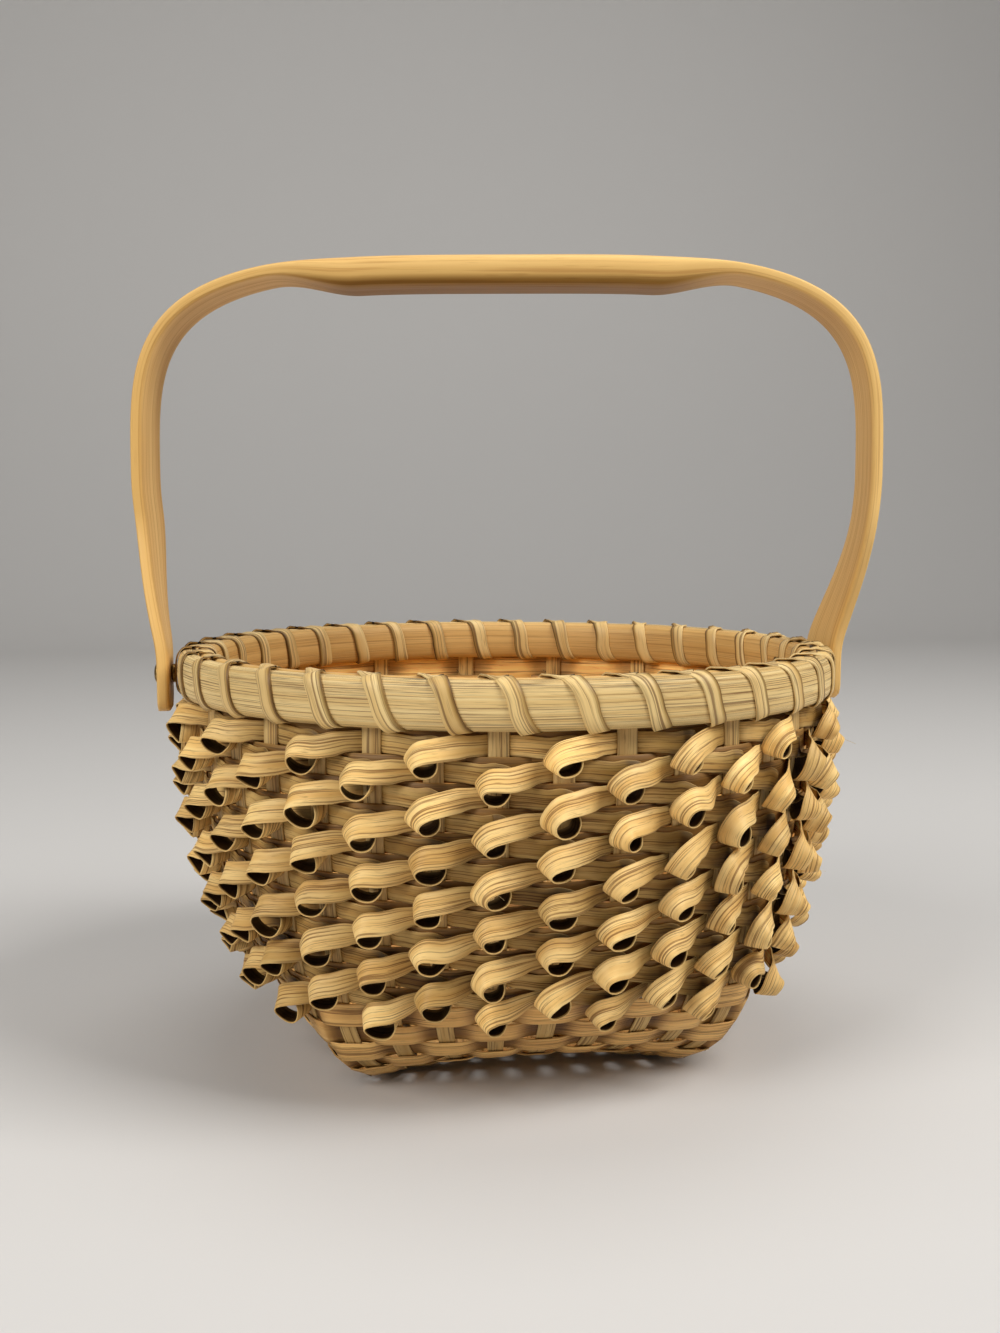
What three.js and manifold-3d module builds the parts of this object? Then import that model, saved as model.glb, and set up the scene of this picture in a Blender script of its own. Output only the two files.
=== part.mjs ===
// Ash splint basket: a square woven base, a round rim, an overlay of loose curls and a swing handle.
// Millimetres, +Z up. The corner feet stand on z = 0 and the handle's hinge runs along X.
import * as THREE from 'three';
import { mergeVertices } from 'three/addons/utils/BufferGeometryUtils.js';
import Module from 'manifold-3d';

// Splint stock
const stakesPerSide = 9;
const stakeWidthAtRim = 7;
const stakeWidthAtBase = 5.5;
const stakeThickness = 0.9;
const weaverWidth = 6.6;
const plainWeaverWidth = 8;
const weaverThickness = 0.6;
const curlThickness = 0.5;
const weaveClearance = 0.35;
const plainWeaveClearance = 0.45;

// Woven body
const baseHalfSide = 53;
const baseArch = 7;
const baseEdgeLift = 2.6;
const footHalfLength = 2.4;
const wallTopRadius = 117;
const wallHeight = 124;
const flareReach = 48;
const flareRise = 1;
const wallUpperReach = 46;
const wallUpperLean = -1.8;
const roundingPower = 3;

// Rows of weave, counted from the rim down
const curledRows = 12;
const plainRows = 5;
const rowGap = 1.5;
const rimToFirstRow = 1.5;
const rowsPerBend = 4;
const settlingPasses = 12;

// Curls
const curlRadius = 5.5;
const curlDrop = 5.8;
const curlReach = 4.5;
const curlTuck = 4;
const curlTilt = THREE.MathUtils.degToRad(28);
const curlCorners = 4;
const curlSettle = 4;
const curlFlattening = 0.9;

// Rim hoops and their lashing
const rimHeight = 16;
const rimFullThickness = 6.4;
const rimEdgeThickness = 4.6;
const rimClearance = 0.3;
const stakeEndBelowRim = 1.5;
const lashingWidth = 4.5;
const lashingThickness = 0.6;
const lashingClearance = 0.25;
const lashingOuterLead = 0.45;
const lashingUnderLead = 0.05;
const lashingInnerLead = 0.3;
const lashingStart = THREE.MathUtils.degToRad(0.6);

// Swing handle
const handleSpread = 140.2;
const handleTop = 294.7;
const handleShoulder = 210.4;
const handleSquareness = 3.8;
const handleLegLean = 1.36;
const handleWidth = 30;
const handleTwist = THREE.MathUtils.degToRad(-10);
const handleTwistRise = 60;
const handleThickness = 4.6;
const gripThickness = 12;
const gripLength = 118;
const gripTaper = 30;
const gripMiddleFlat = 40;
const handleCorner = 1.3;
const handleEndBelowPin = 13;
const handleEndRound = 7;
const handleStraightAbovePin = 9;
const handleArcSteps = 9;
const handleArcEasing = 1.6;
const handleLegSteps = 6;

// Rivets and washers that the handle turns on
const rivetRadius = 1.4;
const rivetHeadRadius = 3.6;
const rivetHeadHeight = 1.6;
const rivetDomeRadius = 2.9;
const rivetDomeHeight = 1.1;
const rivetTailRadius = 2.6;
const rivetTailHeight = 1;
const rivetSlack = 0.3;
const pinBelowRimMiddle = 1;
const washerRadius = 3.5;
const washerThickness = 1.6;
const roundSteps = 12;

// Finishes
const splintColour = 0xc9a468;
const weaverColour = 0xc4985a;
const curlColour = 0xd0a562;
const rimColour = 0xcdb67a;
const lashingColour = 0xd6b878;
const handleColour = 0xd6aa62;
const brassColour = 0xa98a4a;
const woodRoughness = 0.62;
const handleRoughness = 0.42;
const brassRoughness = 0.35;

// Sizes worked out from the ones above
const stakeCount = 4 * stakesPerSide;
const middleStake = (stakesPerSide - 1) / 2;
const stakeAngle = (2 * Math.PI) / stakeCount;
const basePitch = (2 * baseHalfSide) / stakesPerSide;
const rowCount = curledRows + plainRows;
const baseSlope = 1 - stakeWidthAtBase / (basePitch - footHalfLength);
const baseWave = (stakeThickness + weaveClearance) / 2 / baseSlope;
const cornerShare = middleStake / (stakesPerSide / 2);
const baseLevel = baseWave + stakeThickness / 2 - baseArch * (1 - cornerShare ** 4);
const baseEdgeHeight = baseLevel + baseArch + baseEdgeLift;
const rimBottom = baseEdgeHeight + wallHeight;
const rimTop = rimBottom + rimHeight;
const pinHeight = rimBottom + rimHeight / 2 - pinBelowRimMiddle;
const flatToCorner = 1 / Math.cos(stakeAngle / 2);
const rimOuterFace = wallTopRadius + stakeThickness / 2 + rimClearance;
const rimInnerFace = wallTopRadius - stakeThickness / 2 - rimClearance;
const rimOuterFlat = rimOuterFace + rimFullThickness;
const handleInnerFace = rimOuterFlat + washerThickness + 2 * rimClearance;
const handlePinReach = handleInnerFace + handleThickness;
const drillLength = 4 * handleSpread;

const wasm = await Module();
wasm.setup();

const zAxis = new THREE.Vector3(0, 0, 1);

// Wall profile from the edge of the base to the underside of the rim, as radius and height.
const wallProfile = new THREE.CubicBezierCurve(
  new THREE.Vector2(baseHalfSide, baseEdgeHeight),
  new THREE.Vector2(baseHalfSide + flareReach, baseEdgeHeight + flareRise),
  new THREE.Vector2(wallTopRadius - wallUpperLean, rimBottom - wallUpperReach),
  new THREE.Vector2(wallTopRadius, rimBottom),
);
const wallLength = wallProfile.getLength();

// The plain rows near the base are woven with a wider strip.
function rowWidth(row) {
  return row < curledRows ? weaverWidth : plainWeaverWidth;
}

// Length of wall taken up by a number of rows, with the gaps under them.
function rowsLength(rows) {
  const curled = Math.min(rows, curledRows);
  return curled * (weaverWidth + rowGap) + (rows - curled) * (plainWeaverWidth + rowGap);
}

// Share of the wall's length, from 0 at the base to 1 at the rim, at the middle of a row.
function rowPlace(row) {
  return 1 - (rimToFirstRow + rowsLength(row) + rowWidth(row) / 2) / wallLength;
}

// Share of the wall's length at the gap under a number of rows.
function gapPlace(rows) {
  return 1 - (rimToFirstRow + rowsLength(rows) - rowGap / 2) / wallLength;
}

// Places where the stakes bend: the base edge, gaps between rows, and the rim.
const bendPlaces = [0, gapPlace(rowCount), gapPlace(curledRows + Math.ceil(plainRows / 2))];
for (let rows = curledRows; rows > 0; rows -= rowsPerBend) {
  bendPlaces.push(gapPlace(rows));
}
bendPlaces.push(1);

// A point of the wall at a bend. Stakes are numbered round the basket and may be fractions.
function bendPoint(stake, place) {
  const side = Math.floor((stake + 0.5) / stakesPerSide);
  const step = stake - side * stakesPerSide - middleStake;
  const share = step / (stakesPerSide / 2);
  const profile = wallProfile.getPointAt(place);
  const roundness = 1 - (1 - place) ** roundingPower;
  const x = profile.x * THREE.MathUtils.lerp(1, Math.cos(step * stakeAngle), roundness);
  const y = profile.x * THREE.MathUtils.lerp(share, Math.sin(step * stakeAngle), roundness);
  const z = profile.y - baseArch * share ** 2 * (1 - place) ** roundingPower;
  return new THREE.Vector3(x, y, z).applyAxisAngle(zAxis, (side * Math.PI) / 2);
}

// Index of the straight stretch of stake that holds a place on the wall.
function stretchAt(place) {
  let stretch = 0;
  while (stretch < bendPlaces.length - 2 && place > bendPlaces[stretch + 1]) {
    stretch += 1;
  }
  return stretch;
}

// A point of the wall, on the straight stretch between two bends.
function wallPoint(stake, place) {
  const stretch = stretchAt(place);
  const low = bendPlaces[stretch];
  const high = bendPlaces[stretch + 1];
  const share = (place - low) / (high - low);
  return bendPoint(stake, low).lerp(bendPoint(stake, high), share);
}

// Directions at a place on the wall: round the basket, up the wall and outwards.
function wallFrame(stake, place) {
  const stretch = stretchAt(place);
  const up = bendPoint(stake, bendPlaces[stretch + 1]).sub(bendPoint(stake, bendPlaces[stretch])).normalize();
  const round = wallPoint(stake + 0.5, place).sub(wallPoint(stake - 0.5, place)).normalize();
  const out = round.clone().cross(up).normalize();
  return { round: up.clone().cross(out), up, out };
}

function halfStakeWidth(place) {
  return THREE.MathUtils.lerp(stakeWidthAtBase, stakeWidthAtRim, place) / 2;
}

// Joins a list of cross-sections into one closed skin, either a ring or a bar with two end caps.
// Faces on opposite sides of a section are split along the same diagonal, so that a twisted splint
// keeps its thickness.
function loft(sections, closed) {
  const size = sections[0].length;
  const points = sections.flat();
  const triangles = [];
  const spans = closed ? sections.length : sections.length - 1;
  for (let span = 0; span < spans; span += 1) {
    const here = span * size;
    const next = ((span + 1) % sections.length) * size;
    for (let side = 0; side < size; side += 1) {
      const other = (side + 1) % size;
      if (side < size / 2) {
        triangles.push(here + side, here + other, next + other, here + side, next + other, next + side);
      } else {
        triangles.push(here + side, here + other, next + side, here + other, next + other, next + side);
      }
    }
  }
  const last = (sections.length - 1) * size;
  for (let corner = 1; corner < size - 1 && !closed; corner += 1) {
    triangles.push(0, corner + 1, corner, last, last + corner, last + corner + 1);
  }
  return outwardGeometry(points, triangles);
}

// A geometry whose faces point out, turned round if the given order encloses a negative volume.
function outwardGeometry(points, triangles) {
  let volume = 0;
  for (let first = 0; first < triangles.length; first += 3) {
    const [a, b, c] = triangles.slice(first, first + 3).map((corner) => points[corner]);
    volume += a.dot(b.clone().cross(c));
  }
  const order = volume < 0 ? triangles.toReversed() : triangles;
  const geometry = new THREE.BufferGeometry().setFromPoints(points);
  geometry.setIndex(order);
  return geometry;
}

// Flat four-sided section of a splint, from half its width and half its thickness as vectors.
function flatSection(centre, halfWidth, halfThickness) {
  return [
    centre.clone().add(halfWidth).add(halfThickness),
    centre.clone().sub(halfWidth).add(halfThickness),
    centre.clone().sub(halfWidth).sub(halfThickness),
    centre.clone().add(halfWidth).sub(halfThickness),
  ];
}

// Three-sided section of a thin splint that is shaved to a feather edge on one side.
function shavedSection(centre, halfWidth, halfThickness) {
  return [
    centre.clone().sub(halfWidth),
    centre.clone().add(halfWidth).add(halfThickness),
    centre.clone().add(halfWidth).sub(halfThickness),
  ];
}

function solidOf(geometry) {
  const bare = new THREE.BufferGeometry();
  bare.setAttribute('position', geometry.getAttribute('position'));
  bare.setIndex(geometry.index);
  const merged = mergeVertices(bare);
  return new wasm.Manifold(
    new wasm.Mesh({
      numProp: 3,
      vertProperties: merged.getAttribute('position').array,
      triVerts: Uint32Array.from(merged.index.array),
    }),
  );
}

function geometryOf(solid) {
  const mesh = solid.getMesh();
  const geometry = new THREE.BufferGeometry();
  geometry.setAttribute('position', new THREE.BufferAttribute(mesh.vertProperties, mesh.numProp));
  geometry.setIndex(new THREE.BufferAttribute(mesh.triVerts, 1));
  return geometry;
}

// Drills the hinge hole, along X at the pin's height, through everything that a piece has there.
function drillForPin(geometry) {
  const drill = new THREE.CylinderGeometry(
    rivetRadius + rivetSlack,
    rivetRadius + rivetSlack,
    drillLength,
    roundSteps,
  );
  drill.rotateZ(Math.PI / 2);
  drill.translate(0, 0, pinHeight);
  return geometryOf(solidOf(geometry).subtract(solidOf(drill)));
}

const basket = new THREE.Group();

function addPiece(name, geometry, color, roughness = woodRoughness, metalness = 0) {
  const material = new THREE.MeshStandardMaterial({ color, roughness, metalness });
  const mesh = new THREE.Mesh(geometry, material);
  mesh.name = name;
  basket.add(mesh);
}

// Height of the arched base, which comes down to the four corners.
function baseHeightAt(x, y) {
  return baseLevel + baseArch * (1 - (x / baseHalfSide) ** 2 * (y / baseHalfSide) ** 2);
}

// Direction across a base splint, which leans with the slope of the arch.
function baseAcross({ x, y }, runsAlongX) {
  const steepness = (-2 * baseArch) / baseHalfSide ** 4;
  if (runsAlongX) {
    return new THREE.Vector3(0, 1, steepness * x ** 2 * y);
  }
  return new THREE.Vector3(-1, 0, -steepness * x * y ** 2);
}

// One stake's centre points, from the base edge up to its end between the rim hoops.
function stakePoints(stake) {
  const points = bendPlaces.map((place) => bendPoint(stake, place));
  const end = points[points.length - 1].clone();
  end.z = rimTop - stakeEndBelowRim;
  points.push(end);
  return points;
}

// True where a splint passes above the one that it crosses on the base.
function passesAbove(splint, crossing, runsAlongX) {
  return (splint + crossing) % 2 === 0 ? runsAlongX : !runsAlongX;
}

// A foot is the flat underside of an outermost splint at its first and last crossing.
function isFoot(splint, crossing, runsAlongX) {
  const outermost = stakesPerSide - 1;
  return !runsAlongX && splint % outermost === 0 && crossing % outermost === 0;
}

// Centre points across the base, weaving over and under the splints that run the other way.
function basePoints(splint, runsAlongX) {
  const points = [];
  const offset = (splint - middleStake) * basePitch;
  for (let crossing = 0; crossing < stakesPerSide; crossing += 1) {
    const reach = (crossing - middleStake) * basePitch;
    const wave = passesAbove(splint, crossing, runsAlongX) ? baseWave : -baseWave;
    const foot = isFoot(splint, crossing, runsAlongX);
    for (const shift of foot ? [-footHalfLength, footHalfLength] : [0]) {
      const x = runsAlongX ? reach + shift : offset;
      const y = runsAlongX ? offset : reach + shift;
      const point = new THREE.Vector3(x, y, baseHeightAt(reach, offset) + wave);
      const along = foot ? new THREE.Vector3(0, 1, 0) : null;
      points.push({ point, along, across: baseAcross(foot ? zAxis : point, runsAlongX), place: 0 });
    }
  }
  return points;
}

// Centre points up one wall. The first one keeps the height of the splint's last crossing on the base.
function wallPoints(stake, wave, turned) {
  const points = stakePoints(stake).map((point, index) => {
    const place = bendPlaces[Math.min(index, bendPlaces.length - 1)];
    const across = wallFrame(stake, place).round.multiplyScalar(turned);
    return { point, along: null, across, place };
  });
  points[0].point.z += wave;
  return points;
}

// A whole splint: up one wall, across the base and up the opposite wall.
function splintGeometry(splint, runsAlongX) {
  const mirrored = stakesPerSide - 1 - splint;
  const farStake = runsAlongX ? splint : stakesPerSide + mirrored;
  const nearStake = runsAlongX ? 2 * stakesPerSide + mirrored : 3 * stakesPerSide + splint;
  const edgeWave = passesAbove(splint, 0, runsAlongX) ? baseWave : -baseWave;
  const path = [
    ...wallPoints(nearStake, edgeWave, -1).reverse(),
    ...basePoints(splint, runsAlongX),
    ...wallPoints(farStake, edgeWave, 1),
  ];
  const sections = path.map(({ point, along, across, place }, index) => {
    const before = path[Math.max(index - 1, 0)].point;
    const after = path[Math.min(index + 1, path.length - 1)].point;
    const heading = along ?? after.clone().sub(before).normalize();
    const through = heading.clone().cross(across).normalize();
    const square = through.clone().cross(heading);
    return flatSection(
      point,
      square.multiplyScalar(halfStakeWidth(place)),
      through.multiplyScalar(stakeThickness / 2),
    );
  });
  return loft(sections, false);
}

// True where a stake shows on the outside of a row and the weaver passes behind it.
function stakeIsOuter(stake, row) {
  return (stake + row) % 2 === 0;
}

// Where the straight link from one stake's crossing to the next one's passes the stake's own edge,
// this is the offset that the crossing needs to clear the edge by the needed distance.
function crossingOffset(here, there, half, need) {
  const link = there.point.clone().addScaledVector(there.frame.out, there.offset).sub(here.point);
  const share = half / Math.abs(link.dot(here.frame.round));
  return (need - link.dot(here.frame.out) * share) / (1 - share);
}

// How far a row's weaver lies from the middle of the wall at each stake, clear of the stakes' edges.
function weaverOffsets(row) {
  const place = rowPlace(row);
  const half = halfStakeWidth(place);
  const curled = row < curledRows;
  const clearance = curled ? weaveClearance : plainWeaveClearance;
  const outerNeed = stakeThickness / 2 + clearance + weaverThickness / 2;
  const overlay = curled ? curlThickness + weaveClearance : 0;
  const crossings = Array.from({ length: stakeCount }, (unused, stake) => {
    const need = stakeIsOuter(stake, row) ? -outerNeed - overlay : outerNeed;
    return { point: wallPoint(stake, place), frame: wallFrame(stake, place), need, offset: need };
  });
  for (let pass = 0; pass < settlingPasses; pass += 1) {
    crossings.forEach((here, stake) => {
      const neighbours = [stake + 1, stake + stakeCount - 1].map((other) => crossings[other % stakeCount]);
      const offsets = neighbours.map((there) => crossingOffset(here, there, half, here.need));
      here.offset = here.need < 0 ? Math.min(here.need, ...offsets) : Math.max(here.need, ...offsets);
    });
  }
  return crossings.map(({ offset }) => offset);
}

function weaverGeometry(row) {
  const place = rowPlace(row);
  const sections = weaverOffsets(row).map((offset, stake) => {
    const { up, out } = wallFrame(stake, place);
    const centre = wallPoint(stake, place).addScaledVector(out, offset);
    return flatSection(centre, up.multiplyScalar(rowWidth(row) / 2), out.multiplyScalar(weaverThickness / 2));
  });
  return loft(sections, true);
}

// The strip lies flat behind an outer stake, from the stake's right edge to its left edge.
function tuckedSections(stake, place) {
  const { round, up, out } = wallFrame(stake, place);
  const depth = stakeThickness / 2 + weaveClearance + curlThickness / 2;
  const reach = halfStakeWidth(place) + weaveClearance;
  return [reach, -reach].map((shift) => {
    const centre = wallPoint(stake, place).addScaledVector(out, -depth).addScaledVector(round, shift);
    const halfWidth = up.clone().multiplyScalar(-weaverWidth / 2);
    return shavedSection(centre, halfWidth, out.clone().multiplyScalar(curlThickness / 2));
  });
}

// One loose curl over an inner stake. It starts at the upper left, turns down and round to the right,
// and is tucked flat against the wall behind its own start.
function curlSections(stake, place, surface) {
  const { round, up, out } = wallFrame(stake, place);
  const axis = out.clone().multiplyScalar(Math.cos(curlTilt)).addScaledVector(up, -Math.sin(curlTilt));
  const crown = out.clone().multiplyScalar(Math.sin(curlTilt)).addScaledVector(up, Math.cos(curlTilt));
  const middle = wallPoint(stake, place)
    .addScaledVector(out, surface + curlReach)
    .addScaledVector(up, -curlDrop);
  const sections = [];
  for (let corner = 0; corner < curlCorners; corner += 1) {
    const turn = ((corner + 0.5) / curlCorners) * 2 * Math.PI;
    const settle = (corner / (curlCorners - 1)) ** curlSettle;
    const radial = crown.clone().multiplyScalar(Math.cos(turn)).addScaledVector(round, -Math.sin(turn));
    const centre = middle
      .clone()
      .addScaledVector(radial, curlRadius)
      .addScaledVector(axis, -settle * curlTuck);
    const flattening = settle * curlFlattening;
    const across = axis.clone().lerp(up.clone().negate(), flattening).normalize();
    const through = radial.clone().lerp(out, flattening).normalize();
    sections.push(
      shavedSection(
        centre,
        across.multiplyScalar(weaverWidth / 2),
        through.multiplyScalar(curlThickness / 2),
      ),
    );
  }
  return sections;
}

// One row's overlay strip, tucked behind each outer stake and curled over each inner one.
function curlStripGeometry(row) {
  const place = rowPlace(row);
  const offsets = weaverOffsets(row);
  const sections = [];
  for (let stake = stakeCount - 1; stake >= 0; stake -= 1) {
    if (stakeIsOuter(stake, row)) {
      sections.push(...tuckedSections(stake, place));
    } else {
      const surface = offsets[stake] + weaverThickness / 2 + weaveClearance;
      sections.push(...curlSections(stake, place, surface));
    }
  }
  return loft(sections, true);
}

// A hoop swept round the basket, with one flat for each stake. Points are radius and height of the flats.
function hoopGeometry(profile) {
  const sections = [];
  for (let stake = 0; stake < stakeCount; stake += 1) {
    const angle = (stake + 0.5) * stakeAngle;
    sections.push(
      profile.map(
        ([radius, height]) =>
          new THREE.Vector3(
            radius * flatToCorner * Math.cos(angle),
            radius * flatToCorner * Math.sin(angle),
            height,
          ),
      ),
    );
  }
  return loft(sections, true);
}

// Half-round hoop section, thickest at the middle, from its flat face and the side that it bulges to.
function rimProfile(flatFace, bulge) {
  return [
    [flatFace, rimBottom],
    [flatFace + bulge * rimEdgeThickness, rimBottom],
    [flatFace + bulge * rimFullThickness, (rimBottom + rimTop) / 2],
    [flatFace + bulge * rimEdgeThickness, rimTop],
    [flatFace, rimTop],
  ];
}

// The lashing's turns: down over the outer hoop, under both, up the inner hoop and over the top.
function lashingGeometry() {
  const lift = lashingClearance + lashingThickness / 2;
  const outerEdge = (rimOuterFace + rimEdgeThickness) * flatToCorner + lift;
  const outerFull = rimOuterFlat * flatToCorner + lift;
  const innerEdge = rimInnerFace - rimEdgeThickness - lift;
  const innerFull = rimInnerFace - rimFullThickness - lift;
  const innerStart = lashingOuterLead + lashingUnderLead;
  const middle = (rimBottom + rimTop) / 2;
  const turnPoints = [
    { radius: outerEdge, height: rimTop + lift, lead: 0, slope: [1, 1] },
    { radius: outerFull, height: middle, lead: lashingOuterLead / 2, slope: [1, 0] },
    { radius: outerEdge, height: rimBottom - lift, lead: lashingOuterLead, slope: [1, -1] },
    { radius: innerEdge, height: rimBottom - lift, lead: innerStart, slope: [-1, -1] },
    { radius: innerFull, height: middle, lead: innerStart + lashingInnerLead / 2, slope: [-1, 0] },
    { radius: innerEdge, height: rimTop + lift, lead: innerStart + lashingInnerLead, slope: [-1, 1] },
  ];
  const places = [];
  for (let wrap = 0; wrap < stakeCount; wrap += 1) {
    for (const { radius, height, lead, slope } of turnPoints) {
      const angle = lashingStart + (wrap + lead) * stakeAngle;
      const away = new THREE.Vector3(Math.cos(angle), Math.sin(angle), 0);
      places.push({
        centre: away.clone().multiplyScalar(radius).setZ(height),
        edge: zAxis.clone().cross(away),
        through: away.multiplyScalar(slope[0]).setZ(slope[1]).normalize(),
      });
    }
  }
  const sections = places.map(({ centre, edge, through }, index) => {
    const before = places[(index + places.length - 1) % places.length].centre;
    const after = places[(index + 1) % places.length].centre;
    const along = after.clone().sub(before).normalize();
    const halfAlongEdge = lashingWidth / 2 / along.cross(edge).length();
    return shavedSection(
      centre,
      edge.clone().multiplyScalar(halfAlongEdge),
      through.clone().multiplyScalar(lashingThickness / 2),
    );
  });
  return loft(sections, true);
}

// Outer face of the bow at one side: leg from its end up to the shoulder, then a squared arc to the middle.
function handleOuterPath() {
  const path = [];
  const legFoot = pinHeight + handleStraightAbovePin;
  const legRise = handleShoulder - legFoot;
  const lean = handleSpread - handlePinReach;
  path.push(new THREE.Vector2(handlePinReach, pinHeight - handleEndBelowPin));
  path.push(new THREE.Vector2(handlePinReach, pinHeight - handleEndBelowPin + handleEndRound));
  for (let step = 0; step < handleLegSteps; step += 1) {
    const height = legFoot + (legRise * step) / handleLegSteps;
    const share = (handleShoulder - height) / legRise;
    path.push(new THREE.Vector2(handleSpread - lean * share ** handleLegLean, height));
  }
  for (let step = 0; step <= handleArcSteps; step += 1) {
    const turn = (Math.PI / 2) * (step / handleArcSteps) ** handleArcEasing;
    const across = Math.cos(turn) ** (2 / handleSquareness);
    const rise = Math.sin(turn) ** (2 / handleSquareness);
    path.push(
      new THREE.Vector2(handleSpread * across, handleShoulder + (handleTop - handleShoulder) * rise),
    );
  }
  return path;
}

// The legs stand square on the hinge and twist about Z above it, so the bow is out of line with it.
function handleGeometry() {
  const side = handleOuterPath();
  const gripEdge = gripLength / 2;
  const gripPlaces = [gripEdge + gripTaper, gripEdge + gripTaper / 2, gripEdge, gripMiddleFlat / 2];
  const bow = side.filter((point) => point.x > gripEdge + gripTaper + handleThickness);
  const arcHeight = (x) =>
    handleShoulder +
    (handleTop - handleShoulder) * (1 - (x / handleSpread) ** handleSquareness) ** (1 / handleSquareness);
  for (const x of gripPlaces) {
    bow.push(new THREE.Vector2(x, arcHeight(x)));
  }
  const otherSide = bow.map((point) => new THREE.Vector2(-point.x, point.y));
  const path = [...bow, ...otherSide.reverse()];
  const sections = path.map((point, index) => {
    const before = path[Math.max(index - 1, 0)];
    const after = path[Math.min(index + 1, path.length - 1)];
    const along = after.clone().sub(before).normalize();
    const inward = new THREE.Vector3(-along.y, 0, along.x);
    const swell = 1 - THREE.MathUtils.smoothstep(Math.abs(point.x), gripEdge, gripEdge + gripTaper);
    const overTop = point.y > handleShoulder ? swell : 0;
    const thickness = THREE.MathUtils.lerp(handleThickness, gripThickness, overTop);
    const atEnd = index === 0 || index === path.length - 1;
    const half = handleWidth / 2 - (atEnd ? handleEndRound : 0);
    const outer = new THREE.Vector3(point.x, 0, point.y);
    const twist = handleTwist * THREE.MathUtils.smoothstep(point.y, pinHeight, pinHeight + handleTwistRise);
    const corner = (y, depth) =>
      outer.clone().addScaledVector(inward, depth).setY(y).applyAxisAngle(zAxis, twist);
    return [
      corner(half - handleCorner, 0),
      corner(half, handleCorner),
      corner(half, thickness - handleCorner),
      corner(half - handleCorner, thickness),
      corner(-half + handleCorner, thickness),
      corner(-half, thickness - handleCorner),
      corner(-half, handleCorner),
      corner(-half + handleCorner, 0),
    ];
  });
  return drillForPin(loft(sections, false));
}

// A round piece from a closed outline of radius and distance along X, on the hinge line at one side.
function turnedOnHinge(outline, side) {
  const points = outline.map(([radius, along]) => new THREE.Vector2(radius, along));
  const geometry = new THREE.LatheGeometry(points, roundSteps);
  geometry.rotateZ(-Math.PI / 2);
  geometry.rotateZ(side < 0 ? Math.PI : 0);
  geometry.translate(0, 0, pinHeight);
  return geometry;
}

function rivetOutline() {
  const tailFace = rimInnerFace - rimFullThickness - rimClearance;
  const headFace = handlePinReach + rimClearance;
  return [
    [0, tailFace - rivetTailHeight],
    [rivetTailRadius, tailFace - rivetTailHeight],
    [rivetTailRadius, tailFace],
    [rivetRadius, tailFace],
    [rivetRadius, headFace],
    [rivetHeadRadius, headFace],
    [rivetDomeRadius, headFace + rivetDomeHeight],
    [0, headFace + rivetHeadHeight],
  ];
}

function washerOutline() {
  const near = rimOuterFlat + rimClearance;
  const bore = rivetRadius + rivetSlack;
  return [
    [bore, near],
    [washerRadius, near],
    [washerRadius, near + washerThickness],
    [bore, near + washerThickness],
    [bore, near],
  ];
}

for (let splint = 0; splint < stakesPerSide; splint += 1) {
  for (const runsAlongX of [true, false]) {
    const bare = splintGeometry(splint, runsAlongX);
    const carriesPin = runsAlongX && splint === middleStake;
    const name = `splint_${runsAlongX ? 'x' : 'y'}_${splint + 1}`;
    addPiece(name, carriesPin ? drillForPin(bare) : bare, splintColour);
  }
}

for (let row = 0; row < rowCount; row += 1) {
  const number = String(row + 1).padStart(2, '0');
  addPiece(`weaver_${number}`, weaverGeometry(row), weaverColour);
  if (row < curledRows) {
    addPiece(`curl_strip_${number}`, curlStripGeometry(row), curlColour);
  }
}

addPiece('rim_outer', drillForPin(hoopGeometry(rimProfile(rimOuterFace, 1))), rimColour);
addPiece('rim_inner', drillForPin(hoopGeometry(rimProfile(rimInnerFace, -1))), rimColour);
addPiece('rim_lashing', lashingGeometry(), lashingColour);
addPiece('handle', handleGeometry(), handleColour, handleRoughness);
for (const side of [-1, 1]) {
  const hand = side < 0 ? 'left' : 'right';
  addPiece(`handle_rivet_${hand}`, turnedOnHinge(rivetOutline(), side), brassColour, brassRoughness, 1);
  addPiece(`handle_washer_${hand}`, turnedOnHinge(washerOutline(), side), brassColour, brassRoughness, 1);
}

export default basket;
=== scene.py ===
"""Ash splint basket with curled overlay and swing handle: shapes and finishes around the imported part."""

import logging
import math
from dataclasses import dataclass, field
from enum import Enum
from typing import Iterable, Sequence

import bpy
import numpy as np
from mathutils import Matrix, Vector


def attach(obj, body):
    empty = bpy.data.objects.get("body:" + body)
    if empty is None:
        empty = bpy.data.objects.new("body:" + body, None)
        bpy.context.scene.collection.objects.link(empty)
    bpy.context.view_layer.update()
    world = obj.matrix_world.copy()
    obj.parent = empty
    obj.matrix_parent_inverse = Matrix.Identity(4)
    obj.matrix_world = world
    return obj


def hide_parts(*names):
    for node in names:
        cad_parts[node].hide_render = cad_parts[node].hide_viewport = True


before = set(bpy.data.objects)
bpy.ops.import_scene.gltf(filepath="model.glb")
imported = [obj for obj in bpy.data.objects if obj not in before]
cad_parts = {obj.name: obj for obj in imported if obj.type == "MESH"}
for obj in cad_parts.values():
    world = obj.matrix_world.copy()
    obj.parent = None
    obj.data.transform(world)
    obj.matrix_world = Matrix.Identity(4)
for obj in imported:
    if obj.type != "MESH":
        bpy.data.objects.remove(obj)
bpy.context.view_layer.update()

LOG = logging.getLogger("basket")
MM = 0.001
Array = np.ndarray


class Body(str, Enum):
    """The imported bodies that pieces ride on."""

    BASKET = "basket"
    HANDLE = "handle"


class Slot(str, Enum):
    """The record's material slots."""

    SPLINT = "splint"
    WEAVER = "weaver"
    CURL = "curl"
    RIM = "rim"
    LASHING = "lashing"
    HANDLE = "handle"
    BRASS = "brass"


class Side(Enum):
    """The two ends of the hinge, by their sign along X."""

    LEFT = -1
    RIGHT = 1


# Small vector helpers


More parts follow.
